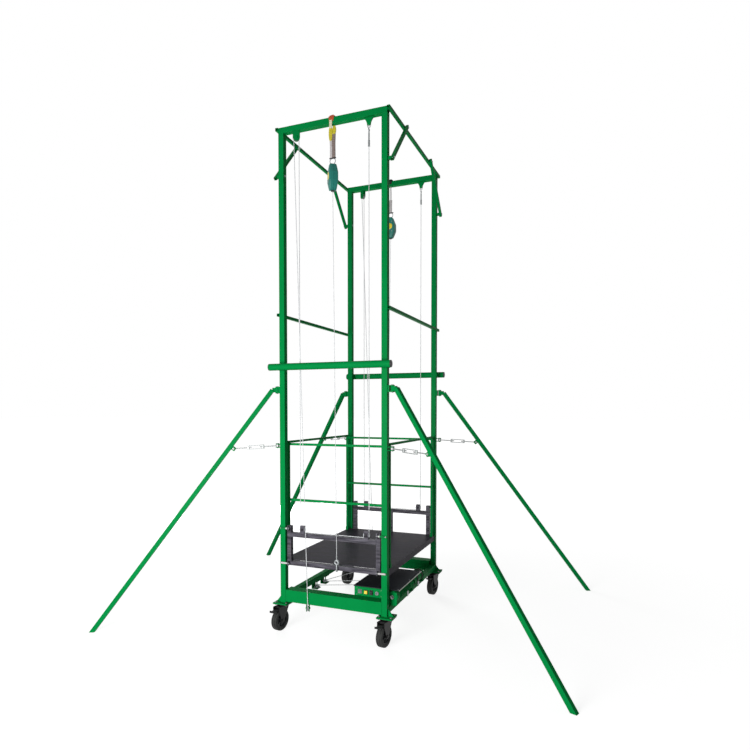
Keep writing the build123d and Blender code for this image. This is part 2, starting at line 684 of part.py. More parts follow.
# Hoist ropes with their sheaves and brackets: one rope for each end of the platform
brackets = []
galvanised = []
hoist_ropes = []
left_falls = []
right_falls = []
cross_ropes = []
end_frames = []
platform_pins = []
turn_reach = hypot(drum_x - turn_rope_x, DRUM_Z - TURN_ROPE_Z)
turn_slope = atan2(DRUM_Z - TURN_ROPE_Z, drum_x - turn_rope_x) - asin(drum_rope_r / turn_reach)
turn_run = sqrt(turn_reach**2 - drum_rope_r**2)
for end in SIDES:
    exit_y = ROPE_EXIT_Y[end]
    turn = Vector(turn_rope_x, exit_y, TURN_ROPE_Z)
    drum_point = turn + Vector(cos(turn_slope), 0, sin(turn_slope)) * turn_run
    base = Vector(BASE_ROPE[0], end * BASE_ROPE[1], BASE_ROPE[2])
    over = Vector(cos(radians(TOP_SHEAVE_YAW)), -end * sin(radians(TOP_SHEAVE_YAW)), 0)
    fall_top = Vector(FALL_LEFT_X, end * FALL_Y, top_rope_z)
    rise_top = fall_top - over * TOP_CORNER_SPACING
    fall_start = Vector(FALL_LEFT_X, end * FALL_Y, top_sheave_z - FALL_JOIN)
    fall_end = Vector(FALL_LEFT_X, end * FALL_Y, fall_end_z + SLIDE_GAP)
    points = (drum_point, turn, base, rise_top, fall_top, fall_start)
    hoist_ropes.append(rope(points, ROPE_R, [SHEAVE_PITCH_R] * 4))
    left_falls.append(rope((fall_start, fall_end), ROPE_R))
    anchor = Vector(FALL_RIGHT_X, end * FALL_Y, anchor_rope_z)
    right_falls.append(rope((anchor, (anchor.X, anchor.Y, fall_end.Z)), ROPE_R))

    # Top sheave below the top beam
    top_axis = Vector(over.Y, -over.X, 0)
    top_centre = fall_top - over * SHEAVE_PITCH_R - Vector(0, 0, SHEAVE_PITCH_R)
    save(f"top_sheave_{END_NAMES[end]}", sheave(top_centre, top_axis))
    brackets += cheeks(top_centre, top_axis, top_sheave_z, top_z, BRACKET_WIDTH, BRACKET_WIDTH / 2)
    frame_bolts.append(sheave_pin(top_centre, top_axis))

    # Base sheave below the end beam
    base_centre = bend_centre(turn, base, rise_top)
    base_level = Vector(base.X - turn.X, base.Y - turn.Y, 0).normalized()
    base_axis = Vector(-base_level.Y, base_level.X, 0)
    save(f"base_sheave_{END_NAMES[end]}", sheave(base_centre, base_axis))
    brackets += cheeks(base_centre, base_axis, base_centre.Z, end_beam_z, BRACKET_WIDTH, BRACKET_WIDTH / 2)
    frame_bolts.append(sheave_pin(base_centre, base_axis))

    # Turning sheave in a C-shaped bracket below the left side beam
    turn_centre = bend_centre(drum_point, turn, base)
    turn_axis = (turn - base).cross(drum_point - turn).normalized()
    upward = turn_axis if turn_axis.Z > 0 else -turn_axis
    save(f"turning_sheave_{END_NAMES[end]}", sheave(turn_centre, turn_axis))
    back_x = -out_x - TURN_BRACKET_BACK
    near_y = turn_centre.Y - TURN_BRACKET_LENGTH / 2
    far_y = turn_centre.Y + TURN_BRACKET_LENGTH / 2
    low_z = side_beam_z - TURN_BRACKET_DROP
    bracket = block(back_x - TURN_BRACKET, back_x, near_y, far_y, low_z, side_beam_z)
    bracket += block(back_x, -in_x, near_y, far_y, side_beam_z - TURN_BRACKET, side_beam_z)
    bracket += block(back_x, -in_x, near_y, far_y, low_z, low_z + TURN_BRACKET)
    pin_top = turn_centre + upward * (side_beam_z - TURN_BRACKET / 2 - turn_centre.Z)
    pin_low = turn_centre - upward * (turn_centre.Z - low_z + TURN_PIN_OUT)
    brackets.append(bracket - rod(pin_low, pin_top, SHEAVE_PIN_R + HOLE_GAP))
    pin = rod(pin_low, pin_top, SHEAVE_PIN_R) + rod(pin_low - upward * HINGE_HEAD, pin_low, BOLT_HEAD_R)
    for side in SIDES:
        face = turn_centre + upward * side * cheek_face
        pin += rod(face, face + upward * side * TURN_COLLAR, TURN_COLLAR_R)
    frame_bolts.append(pin)

    # Anchor of the right-hand fall: a flared lug and a long fitting
    left, right = [
        [(anchor.X + side * width / 2, z) for width, z in (
            (ANCHOR_TOP_WIDTH, top_z), (ANCHOR_WAIST, top_z - ANCHOR_DROP / 2), (ANCHOR_LOW_WIDTH, anchor_low_z))]
        for side in SIDES]
    outline = Line(left[0], right[0]) + ThreePointArc(*right)
    outline += Line(right[2], left[2]) + ThreePointArc(*reversed(left))
    lug = extrude(make_face(Plane.XZ * outline), ANCHOR, dir=(0, 1, 0))
    brackets.append(Pos(0, anchor.Y - ANCHOR / 2, 0) * lug)
    fitting = rod(anchor, (anchor.X, anchor.Y, anchor_low_z), ANCHOR_FITTING_R)
    fitting += rod(anchor, anchor + Vector(0, 0, ANCHOR_SLEEVE), ANCHOR_SLEEVE_R)
    galvanised.append(fitting)

    # Platform sheaves on the end frame's upper bar, with the rope across below them
    sheave_xs = {"left": FALL_LEFT_X + SHEAVE_PITCH_R, "right": FALL_RIGHT_X - SHEAVE_PITCH_R}
    for hand, sheave_x in sheave_xs.items():
        centre = Vector(sheave_x, end * FALL_Y, platform_sheave_z)
        save(f"platform_sheave_{END_NAMES[end]}_{hand}", sheave(centre, (0, 1, 0)))
        cheek_top = platform_sheave_z + PLATFORM_CHEEK_TOP
        end_frames += cheeks(centre, (0, 1, 0), frame_bar_top, cheek_top, CHEEK_WIDTH)
        platform_pins.append(sheave_pin(centre, (0, 1, 0)))
    across = [
        (FALL_LEFT_X, end * FALL_Y, fall_end_z), (FALL_LEFT_X, end * FALL_Y, cross_rope_z),
        (FALL_RIGHT_X, end * FALL_Y, cross_rope_z), (FALL_RIGHT_X, end * FALL_Y, fall_end_z)]
    cross_ropes.append(rope(across, ROPE_R, [SHEAVE_PITCH_R] * 2))
save("hoist_ropes", *hoist_ropes)
save("rope_falls_left", *left_falls)
save("rope_falls_right", *right_falls)
save("cross_ropes", *cross_ropes)

# Drive: motor, winding drum between two pedestals, and straps round the side beam
bearing_y = PEDESTAL_FRONT_Y[0] - GEARBOX - MOTOR_LENGTH
shaft_span = (drum_x, PEDESTAL_FRONT_Y[0], DRUM_Z), (drum_x, PEDESTAL_REAR_Y[1], DRUM_Z)
shaft_bore = rod(*shaft_span, DRUM_SHAFT_R + RUNNING_GAP)
brackets.append(block(
    drum_x - PEDESTAL_HALF, drum_x + PEDESTAL_HALF, bearing_y - BEARING_PLATE, bearing_y,
    side_beam_top, DRUM_Z + PEDESTAL_HALF))
for y0, y1 in (PEDESTAL_FRONT_Y, PEDESTAL_REAR_Y):
    pedestal = block(drum_x - PEDESTAL_HALF, drum_x + PEDESTAL_HALF, y0, y1, side_beam_top, DRUM_Z)
    pedestal += rod((drum_x, y0, DRUM_Z), (drum_x, y1, DRUM_Z), PEDESTAL_HALF)
    brackets.append(pedestal - shaft_bore)
save("brackets", *brackets)

for y0, y1 in (PEDESTAL_FRONT_Y, PEDESTAL_REAR_Y):
    strap = block(in_x - STRAP, out_x + STRAP, y0, y1, side_beam_z - STRAP, side_beam_top - STRAP_DROP)
    galvanised.append(strap - block(in_x, out_x, y0, y1, side_beam_z, side_beam_top))
save("galvanised_fittings", *galvanised)

motor = rod((drum_x, bearing_y, DRUM_Z), (drum_x, bearing_y + MOTOR_LENGTH, DRUM_Z), MOTOR_R)
motor += rod((drum_x, bearing_y + MOTOR_LENGTH, DRUM_Z), (drum_x, PEDESTAL_FRONT_Y[0], DRUM_Z), GEARBOX_R)
plate_front = bearing_y - BEARING_PLATE
shaft_end = rod((drum_x, plate_front - SHAFT_END, DRUM_Z), (drum_x, plate_front, DRUM_Z), SHAFT_END_R)
save("hoist_motor", motor, shaft_end)

drum = rod((drum_x, DRUM_Y[0], DRUM_Z), (drum_x, DRUM_Y[1], DRUM_Z), DRUM_R)
for y0, y1 in ((DRUM_Y[0], DRUM_Y[0] + DRUM_FLANGE), (DRUM_Y[1] - DRUM_FLANGE, DRUM_Y[1])):
    drum += rod((drum_x, y0, DRUM_Z), (drum_x, y1, DRUM_Z), DRUM_FLANGE_R)
shaft_y0 = PEDESTAL_FRONT_Y[0] + SHAFT_END_GAP
shaft_y1 = PEDESTAL_REAR_Y[1] - SHAFT_END_GAP
drum += rod((drum_x, shaft_y0, DRUM_Z), (drum_x, shaft_y1, DRUM_Z), DRUM_SHAFT_R)
save("winding_drum", drum)

# Drive box with its lid, and the control panel on its front
box = block(*box_x, -end_beam_back, BOX_REAR_Y, box_z, box_top)
box -= block(
    box_x[0] + BOX_WALL, box_x[1] - BOX_WALL, -end_beam_back + BOX_WALL, BOX_REAR_Y - BOX_WALL,
    box_z + BOX_WALL, box_top)
save("drive_box", box)

lid_front = -end_beam_back - LID_OVERHANG
lid_back = BOX_REAR_Y + LID_OVERHANG
lid = block(*lid_x, lid_front, lid_back, box_top, box_top + LID)
trim = block(lid_x[1], lid_x[1] + TRIM, lid_front, lid_back, box_top, box_top + LID)
save("drive_lid", lid, trim)

panel_back = -end_beam_back
panel = block(*panel_x, panel_y, panel_back, *PANEL_Z)
display = block(
    display_x - DISPLAY_SIZE / 2, display_x + DISPLAY_SIZE / 2, panel_y - DISPLAY, panel_y,
    CONTROL_Z - DISPLAY_SIZE / 2, CONTROL_Z + DISPLAY_SIZE / 2)
inlet = rod((inlet_x, panel_y - INLET, CONTROL_Z), (inlet_x, panel_y, CONTROL_Z), INLET_R)
inlet_mouth = Vector(inlet_x, panel_y - INLET, CONTROL_Z)
inlet -= rod(inlet_mouth, inlet_mouth + Vector(0, INLET_BORE, 0), INLET_BORE_R)
bezels = []
openings = (
    (button_x, BUTTON_SIZE / 2 + CONTROL_GAP, BUTTON_SIZE / 2 + CONTROL_GAP),
    (rocker_x, ROCKER_WIDTH / 2 + CONTROL_GAP, ROCKER_HEIGHT / 2 + ROCKER_END_GAP))
for bezel_x, half_x, half_z in openings:
    rim_x = half_x + BEZEL_RIM
    rim_z = half_z + BEZEL_RIM
    bezel = block(
        bezel_x - rim_x, bezel_x + rim_x, panel_y - BEZEL, panel_y, CONTROL_Z - rim_z, CONTROL_Z + rim_z)
    bezel -= block(
        bezel_x - half_x, bezel_x + half_x, panel_y - BEZEL, panel_y, CONTROL_Z - half_z, CONTROL_Z + half_z)
    bezels.append(bezel)
save("control_panel", panel, display, inlet, *bezels)

button_back = panel_y - BUTTON_STROKE - STROKE_GAP
save("push_button", block(
    button_x - BUTTON_SIZE / 2, button_x + BUTTON_SIZE / 2, button_back - BUTTON_DEPTH, button_back,
    CONTROL_Z - BUTTON_SIZE / 2, CONTROL_Z + BUTTON_SIZE / 2))

rocker_back = panel_y - ROCKER_CLEAR
save("rocker_switch", block(
    rocker_x - ROCKER_WIDTH / 2, rocker_x + ROCKER_WIDTH / 2, rocker_back - ROCKER_DEPTH, rocker_back,
    CONTROL_Z - ROCKER_HEIGHT / 2, CONTROL_Z + ROCKER_HEIGHT / 2))

# Fall arresters: a sling and hook on the top beam, webbing, a body and its lifeline
slings = []
bodies = []
lifelines = []
for end in SIDES:
    x = ARRESTER_X[end]
    y = end * post_y
    half = SLING_WIDTH / 2
    band = block(
        x - half, x + half, end * (in_y - SLING), end * (out_y + SLING), top_z - SLING, TOWER_HEIGHT + SLING)
    band -= block(x - half, x + half, end * in_y, end * out_y, top_z, TOWER_HEIGHT)
    hook_top = top_z - SLING - SLING_DROP
    hook_low = hook_top - HOOK_HEIGHT
    tail = Pos(x, y, hook_top) * Box(SLING_TAIL, SLING_TAIL_DEPTH, SLING_DROP, align=AT_START)
    hook = Pos(x, y, hook_low) * Box(HOOK_WIDTH, HOOK_DEPTH, HOOK_HEIGHT, align=AT_START)
    hook -= block(
        x - HOOK_WIDTH / 2 + HOOK_RIM, x + HOOK_WIDTH / 2 - HOOK_RIM, y - HOOK_DEPTH, y + HOOK_DEPTH,
        hook_low + HOOK_RIM, hook_top - HOOK_RIM)
    shackle_top = hook_low - WEBBING_LENGTH
    body_top = shackle_top - SHACKLE
    body_low = body_top - ARRESTER_HEIGHT
    webbing = block(
        x - WEBBING_WIDTH / 2, x + WEBBING_WIDTH / 2, y - WEBBING_DEPTH / 2, y + WEBBING_DEPTH / 2,
        shackle_top, hook_low)
    shackle = rod((x, y, body_top), (x, y, shackle_top), SHACKLE_R)
    slings += [band, tail, hook, webbing, shackle]
    right_side = [
        (ARRESTER_FOOT_WIDTH / 2, body_low), (ARRESTER_WIDTH / 2, body_low + ARRESTER_TAPER),
        (ARRESTER_WIDTH / 2, body_top - ARRESTER_SHOULDER), (ARRESTER_HEAD_WIDTH / 2, body_top)]
    outline = right_side + [(-half_x, z) for half_x, z in reversed(right_side)]
    face = make_face(Plane.XZ * Polyline(*outline, close=True))
    body = Pos(0, -ARRESTER_DEPTH / 2, 0) * extrude(face, ARRESTER_DEPTH, dir=(0, 1, 0))
    body = Pos(x, y, 0) * Rot(0, 0, ARRESTER_TURN[end]) * fillet(body.edges(), ARRESTER_ROUND)
    nozzle = rod((x, y, body_low - NOZZLE), (x, y, body_low), NOZZLE_R)
    bodies.append(body + nozzle)
    eye_y = end * (frame_out_y + LIFELINE_STANDOFF)
    eye_x = LIFELINE_X[end]
    line_foot = (eye_x, eye_y, LIFELINE_FOOT_Z + SLIDE_GAP)
    lifelines.append(rope(((x, y, body_low - NOZZLE - SLIDE_GAP), line_foot), LIFELINE_R))
    snap_z = LIFELINE_FOOT_Z - SNAP_R
    snap_ends = [(eye_x, eye_y + side * SNAP_DEPTH / 2, snap_z) for side in SIDES]
    stem_top = snap_z - (SNAP_R + SNAP_BORE_R) / 2
    eye = rod((eye_x, eye_y, LIFELINE_FOOT_Z - EYE_HEIGHT), (eye_x, eye_y, stem_top), EYE_R)
    eye += rod(*snap_ends, SNAP_R) - rod(*snap_ends, SNAP_BORE_R)
    eye += block(eye_x - EYE_R, eye_x + EYE_R, end * frame_out_y, eye_y, FRAME_Z, FRAME_Z + EYE_ARM)
    platform_pins.append(eye)
save("arrester_slings", *slings)
save("arrester_bodies", *bodies)
save("lifelines", *lifelines)
save("bolts_and_pins", *frame_bolts)

# Platform end frames, with lugs for the guide sleeves that run on the posts
sleeves = []
for end in SIDES:
    depth = (end * frame_in_y, end * frame_out_y)
    end_frames.append(tube((-frame_half, frame_half), depth, (FRAME_Z, deck_z), "x", FRAME_WALL))
    end_frames.append(tube((-frame_in_x, frame_in_x), depth, (FRAME_BAR_Z, frame_bar_top), "x", FRAME_WALL))
    guide_y = end * (out_y + GUIDE_GAP + GUIDE_R)
    for sx in SIDES:
        end_frames.append(tube(
            (sx * frame_in_x, sx * frame_half), depth, (deck_z, FRAME_POST_TOP), "z", FRAME_WALL))
        for guide_z in GUIDE_Z:
            lug_x0 = sx * guide_lug_x
            lug_x1 = sx * (guide_lug_x + GUIDE_LUG)
            bolt_x0 = sx * (guide_lug_x - GUIDE_BOLT_END)
            bolt_x1 = sx * (guide_x[1] + GUIDE_BOLT_END)
            hole = rod((lug_x0, guide_y, guide_z), (lug_x1, guide_y, guide_z), GUIDE_BOLT_R + HOLE_GAP)
            lug = block(
                lug_x0, lug_x1, end * frame_out_y, guide_y + end * GUIDE_LUG_PAST,
                guide_z - GUIDE_LUG_HALF, guide_z + GUIDE_LUG_HALF)
            end_frames.append(lug - hole)
            pin = rod((bolt_x0, guide_y, guide_z), (bolt_x1, guide_y, guide_z), GUIDE_BOLT_R)
            for x0, x1 in ((bolt_x0, lug_x0), (lug_x1, sx * guide_x[0]), (sx * guide_x[1], bolt_x1)):
                pin += rod((x0, guide_y, guide_z), (x1, guide_y, guide_z), GUIDE_COLLAR_R)
            platform_pins.append(pin)
            ends = (sx * guide_x[0], guide_y, guide_z), (sx * guide_x[1], guide_y, guide_z)
            sleeves.append(rod(*ends, GUIDE_R) - rod(*ends, GUIDE_BOLT_R + HOLE_GAP))
save("end_frames", *end_frames)
save("guide_sleeves", *sleeves)
save("platform_fittings", *platform_pins)

# Deck: two long bearers, three cross members and a folded plate
deck_frame = []
for side in SIDES:
    deck_frame.append(tube(
        (side * frame_in_x, side * frame_half), (-frame_in_y, frame_in_y),
        (FRAME_Z, deck_z), "y", FRAME_WALL))
for step in (-1, 0, 1):
    middle = step * CROSS_PITCH
    deck_frame.append(tube(
        (-frame_in_x, frame_in_x), (middle - FRAME_TUBE / 2, middle + FRAME_TUBE / 2),
        (FRAME_Z, deck_z), "x", FRAME_WALL))
save("deck_frame", *deck_frame)

half_width = DECK_WIDTH / 2
half_length = DECK_LENGTH / 2
deck = block(-half_width, half_width, -half_length, half_length, deck_z, deck_top)
for side in SIDES:
    deck += block(
        side * (half_width - DECK), side * half_width, -half_length, half_length, deck_z - DECK_LIP, deck_z)
socket_half = RAIL / 2 + SOCKET
for sx in SIDES:
    for sy in SIDES:
        deck -= block(
            sx * (rail_x - socket_half), sx * (rail_x + socket_half), sy * (rail_y - socket_half),
            sy * (rail_y + socket_half), deck_z, deck_top)
save("deck_plate", deck)

# Guard rail: four uprights in sockets let into the deck, two rails across each end and a side rail
# laid along the top of the uprights on either hand
rails = []
rail_in_x = rail_x - RAIL / 2
rail_out_x = rail_x + RAIL / 2
rail_in_y = rail_y - RAIL / 2
rail_out_y = rail_y + RAIL / 2
side_rail_z = (rail_top_z - RAIL, rail_top_z)
end_rail_z = (side_rail_z[0] - RAIL, side_rail_z[0])
mid_rail_z = (deck_top + MID_RAIL_HEIGHT, deck_top + MID_RAIL_HEIGHT + RAIL)
for sx in SIDES:
    for sy in SIDES:
        width = (sx * rail_in_x, sx * rail_out_x)
        depth = (sy * rail_in_y, sy * rail_out_y)
        rails.append(tube(width, depth, (deck_z, side_rail_z[0]), "z", RAIL_WALL))
        socket = Pos(sx * rail_x, sy * rail_y, deck_z)
        outer = Box(2 * socket_half, 2 * socket_half, SOCKET_HEIGHT, align=AT_START)
        rails.append(socket * (outer - Box(RAIL, RAIL, SOCKET_HEIGHT, align=AT_START)))
for side in SIDES:
    depth = (side * rail_in_y, side * rail_out_y)
    for heights in (end_rail_z, mid_rail_z):
        rails.append(tube((-rail_in_x, rail_in_x), depth, heights, "x", RAIL_WALL))
    rails.append(tube(
        (side * rail_in_x, side * rail_out_x), (-rail_out_y, rail_out_y), side_rail_z, "y", RAIL_WALL))
save("guard_rails", *rails)
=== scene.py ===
from math import cos, hypot, pi, radians, sin

import bmesh
import bpy
from mathutils import Matrix, Vector


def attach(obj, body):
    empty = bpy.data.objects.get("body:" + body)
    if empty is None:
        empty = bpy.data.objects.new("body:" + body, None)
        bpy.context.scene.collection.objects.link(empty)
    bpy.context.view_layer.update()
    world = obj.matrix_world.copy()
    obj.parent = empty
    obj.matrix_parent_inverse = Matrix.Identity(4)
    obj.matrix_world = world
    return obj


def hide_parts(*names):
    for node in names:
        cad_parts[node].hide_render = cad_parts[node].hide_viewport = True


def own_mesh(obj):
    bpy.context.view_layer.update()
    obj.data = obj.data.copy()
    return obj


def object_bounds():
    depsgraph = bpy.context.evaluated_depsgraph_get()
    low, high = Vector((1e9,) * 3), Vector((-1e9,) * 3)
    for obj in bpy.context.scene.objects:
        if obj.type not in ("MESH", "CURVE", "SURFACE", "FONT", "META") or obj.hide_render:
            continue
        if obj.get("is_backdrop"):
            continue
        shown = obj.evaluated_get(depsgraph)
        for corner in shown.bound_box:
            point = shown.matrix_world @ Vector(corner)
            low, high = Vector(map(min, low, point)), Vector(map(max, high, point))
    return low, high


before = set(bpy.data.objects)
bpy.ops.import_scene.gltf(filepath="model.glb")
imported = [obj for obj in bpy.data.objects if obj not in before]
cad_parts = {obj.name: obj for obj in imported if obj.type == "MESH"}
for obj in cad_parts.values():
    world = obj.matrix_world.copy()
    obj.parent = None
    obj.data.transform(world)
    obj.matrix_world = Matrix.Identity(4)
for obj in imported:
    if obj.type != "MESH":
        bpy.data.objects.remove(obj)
cad_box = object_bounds()


# Tower, outriggers and guard rail: square and round mild-steel tube, cut, welded and sprayed with
# two coats of green gloss enamel, which thins and chips along the edges of the tubes.
CORNERS = {"front_left": (-1, -1), "front_right": (1, -1), "rear_left": (-1, 1), "rear_right": (1, 1)}


def linear(code):
    """Linear RGBA of an sRGB hex colour."""
    shares = [int(code[i:i + 2], 16) / 255 for i in (1, 3, 5)]
    return (*(s / 12.92 if s <= 0.04045 else ((s + 0.055) / 1.055) ** 2.4 for s in shares), 1)


def add(material, kind, inputs=None, out=None, **settings):
    """Add a node with its settings and links, and return the output asked for or the first in use."""
    node = material.node_tree.nodes.new("ShaderNode" + kind)
    for name, value in settings.items():
        setattr(node, name, value)
    for key, value in (inputs or {}).items():
        if isinstance(value, bpy.types.NodeSocket):
            material.node_tree.links.new(value, node.inputs[key])
        else:
            node.inputs[key].default_value = linear(value) if isinstance(value, str) else value
    return node.outputs[out] if out else next((socket for socket in node.outputs if socket.enabled), None)


def finish(name):
    """An empty material named for a finish, and the coordinates that its patterns lie on."""
    material = bpy.data.materials.new(name)
    material.use_nodes = True
    material.node_tree.nodes.clear()
    return material, add(material, "TexCoord", out="Object")


def edge_wear_and_highlight(material, radius):
    """Normal with softly rounded edges, and the mask along them from 0 to 1 for wear and, on the grey steel,
    a painted highlight.
    """
    rounded = add(material, "Bevel", {"Radius": radius}, samples=4)
    flat = add(material, "NewGeometry", out="Normal")
    agree = add(material, "VectorMath", {0: rounded, 1: flat}, operation="DOT_PRODUCT")
    return rounded, add(material, "MapRange", {"Value": agree, "From Min": 0.995, "From Max": 0.8})


def dress(material, *nodes):
    """Give a finish to the solids that keep their own shape."""
    for node in nodes:
        for material_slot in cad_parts[node].material_slots:
            material_slot.material = material


# Sprayed enamel: a deep even green with slow drifts of film thickness, orange peel 3 mm across,
# softly rounded edges, and paler rubbed patches where the edges have worn to the primer.
green, place = finish("green_gloss_enamel")
drift = add(green, "TexNoise", {"Vector": place, "Scale": 1000 / 260, "Detail": 4})
peel = add(green, "TexNoise", {"Vector": place, "Scale": 1000 / 3, "Detail": 2})
scuff = add(green, "TexNoise", {"Vector": place, "Scale": 1000 / 35, "Detail": 6})
rounded, edge = edge_wear_and_highlight(green, 0.0025)
chip = add(green, "MapRange", {"Value": scuff, "From Min": 0.52, "From Max": 0.64})
worn = add(green, "Math", {0: edge, 1: chip}, operation="MULTIPLY")
film = add(green, "Mix", {0: drift, 6: "#047A38", 7: "#089048"}, data_type="RGBA")
paint = add(green, "Mix", {0: worn, 6: film, 7: "#3C8F5E"}, data_type="RGBA")
sheen = add(green, "MapRange", {"Value": drift, "To Min": 0.26, "To Max": 0.4})
bumpy = add(green, "Bump", {"Height": peel, "Normal": rounded, "Strength": 0.08, "Distance": 0.0006})
enamel = add(green, "BsdfPrincipled", {
    "Base Color": paint, "Roughness": sheen, "Normal": bumpy, "IOR": 1.5, "Specular IOR Level": 0.008})
add(green, "OutputMaterial", {"Surface": enamel})
dress(green, "posts", "base_frame", "top_frame", "knee_braces", "tie_bars", "outrigger_hinges", "brackets",
      "drive_box", "guard_rails", *(f"outrigger_{corner}" for corner in CORNERS))


# Weld beads: rippled fillets of weld metal along the joints of the tower, painted over in green.
# One bead is modelled and laid end to end along each joint line.
BEAD_RADIUS, BEAD_LENGTH, BEAD_WAIST = 2.6, 20, 0.72
BEAD_RIPPLE = BEAD_LENGTH / 6
POST_IN, POST_OUT, POST_BACK, POST_FRONT, POST_Y = 365, 405, 560, 600, 580
PLATE_TOP, GUSSET_END, GUSSET_HALF = 194, 445, 3
END_BEAM, SIDE_BEAM, TOP_BEAM, TOP_BAR = (202, 287), (208, 248), 3482, 3502
BAR_EDGES, EARS, EAR_HALF = (1842, 1882, 2222, 2242), ((1296, 1324), (1682, 1728)), 15
AXIS_TURN = {"X": (0, pi / 2, 0), "Y": (pi / 2, 0, 0), "Z": (0, 0, 0)}


def start(kind, **size):
    """Add a primitive alone in the selection, with its place in its mesh, in millimetres."""
    bpy.ops.object.select_all(action="DESELECT")
    getattr(bpy.ops.mesh, f"primitive_{kind}_add")(**size)
    bpy.ops.object.transform_apply(location=True, rotation=True, scale=True)
    return bpy.context.object


def rod(radius, length, centre=(0, 0, 0), axis="Z", sides=32):
    """Start a round piece along an axis."""
    return start("cylinder", vertices=sides, radius=radius, depth=length, location=centre,
                 rotation=AXIS_TURN[axis])


def shape(piece, kind, test, *steps):
    """Select vertices, edges or faces of a piece by their place and run operators on them in edit mode."""
    bpy.ops.object.select_all(action="DESELECT")
    bpy.context.view_layer.objects.active = piece
    bpy.ops.object.mode_set(mode="EDIT")
    bpy.ops.mesh.select_mode(type=kind)
    bpy.ops.mesh.select_all(action="DESELECT")
    mesh = bmesh.from_edit_mesh(piece.data)
    if kind == "VERT":
        chosen = [vert for vert in mesh.verts if test(vert.co)]
    elif kind == "EDGE":
        chosen = [edge for edge in mesh.edges if test(*(vert.co for vert in edge.verts))]
    else:
        chosen = [face for face in mesh.faces if test(face.calc_center_median(), face.normal)]
    for item in chosen:
        item.select_set(True)
    mesh.select_flush_mode()
    bmesh.update_edit_mesh(piece.data)
    for operator, settings in steps:
        operator(**settings)
    bpy.ops.object.mode_set(mode="OBJECT")


def running(axis):
    """Test for edges that run along an axis."""
    return lambda a, b: abs((a - b)["XYZ".index(axis)]) > 1


def divided(cuts):
    """Step that divides what is selected."""
    return bpy.ops.mesh.subdivide, {"number_cuts": cuts}


def resized(shares, centre=(0, 0, 0)):
    """Step that scales what is selected about a centre."""
    return bpy.ops.transform.resize, {"value": shares, "center_override": centre}


def smooth(piece, angle=40):
    """Shade a piece smooth across its shallow edges."""
    bpy.ops.object.select_all(action="DESELECT")
    piece.select_set(True)
    bpy.context.view_layer.objects.active = piece
    bpy.ops.object.shade_smooth_by_angle(angle=radians(angle))
    return piece


def copies(model, places):
    """Copies of a modelled piece, each with its own mesh, turned and moved to a place."""
    made = []
    for place in places:
        copy = model.copy()
        copy.data = model.data.copy()
        bpy.context.collection.objects.link(copy)
        copy.data.transform(place)
        made.append(copy)
    return made


def coat(material, *pieces):
    """Give new pieces their finish."""
    for piece in pieces:
        piece.data.materials.clear()
        piece.data.materials.append(material)


def joined(parts):
    """Join parts into the first of them."""
    bpy.ops.object.select_all(action="DESELECT")
    for part in parts:
        part.select_set(True)
    bpy.context.view_layer.objects.active = parts[0]
    if len(parts) > 1:
        bpy.ops.object.join()
    return parts[0]


def fit(name, parts, body, slot, *nodes):
    """Join parts into one piece, bring it from millimetres to metres and fix it to a body."""
    piece = joined(parts)
    piece.name = name
    piece.data.name = name
    piece.data.transform(Matrix.Scale(0.001, 4))
    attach(piece, body)
    if nodes:
        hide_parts(*nodes)
    return piece


def along(first, last, axis="Z"):
    """Place of a piece modelled along an axis, at the middle of a line from one point to another."""
    run = Vector(last) - Vector(first)
    turn = run.to_track_quat(axis, "Y" if axis == "Z" else "Z").to_matrix().to_4x4()
    return Matrix.Translation(Vector(first) + run / 2) @ turn


def at_corners(lines):
    """Joint lines of one corner, repeated at all four."""
    return [[(sx * x, sy * y, z) for x, y, z in line] for sx, sy in CORNERS.values() for line in lines]


def beads(lines):
    """The weld bead laid along each joint line."""
    laid = []
    for first, last in lines:
        first, last = Vector(first), Vector(last)
        count = max(1, round((last - first).length / BEAD_LENGTH))
        stretch = Matrix.Diagonal(((last - first).length / count / BEAD_LENGTH, 1, 1, 1))
        for step in range(count):
            ends = first.lerp(last, step / count), first.lerp(last, (step + 1) / count)
            laid += copies(bead, [along(*ends, "X") @ stretch])
    return laid


bead = rod(BEAD_RADIUS, BEAD_LENGTH, axis="X", sides=6)
shape(bead, "EDGE", running("X"), divided(5))
shape(bead, "VERT", lambda p: round(p.x / BEAD_RIPPLE) % 2, resized((1, BEAD_WAIST, BEAD_WAIST)))
coat(green, smooth(bead, 80))
corner_joints = [
    ((POST_IN, POST_FRONT, END_BEAM[0]), (POST_IN, POST_FRONT, END_BEAM[1])),
    ((POST_OUT, POST_BACK, SIDE_BEAM[0]), (POST_OUT, POST_BACK, SIDE_BEAM[1])),
    ((POST_IN, POST_BACK, SIDE_BEAM[1]), (POST_OUT, POST_BACK, SIDE_BEAM[1]))]
for y in (POST_FRONT, POST_BACK):
    for z in (PLATE_TOP, TOP_BEAM):
        corner_joints.append(((POST_IN, y, z), (POST_OUT, y, z)))
for x, edges in ((POST_IN, (END_BEAM[1], TOP_BEAM)), (POST_OUT, (PLATE_TOP, TOP_BAR, *BAR_EDGES))):
    for z in edges:
        corner_joints.append(((x, POST_BACK, z), (x, POST_FRONT, z)))
for y in (POST_Y - GUSSET_HALF, POST_Y + GUSSET_HALF):
    corner_joints.append(((POST_OUT, y, PLATE_TOP), (GUSSET_END, y, PLATE_TOP)))
for z in (*EARS[0], *EARS[1]):
    corner_joints.append(((POST_OUT, POST_Y - EAR_HALF, z), (POST_OUT, POST_Y + EAR_HALF, z)))
fit("tower_weld_beads", beads(at_corners(corner_joints)), "tower", "green_paint")


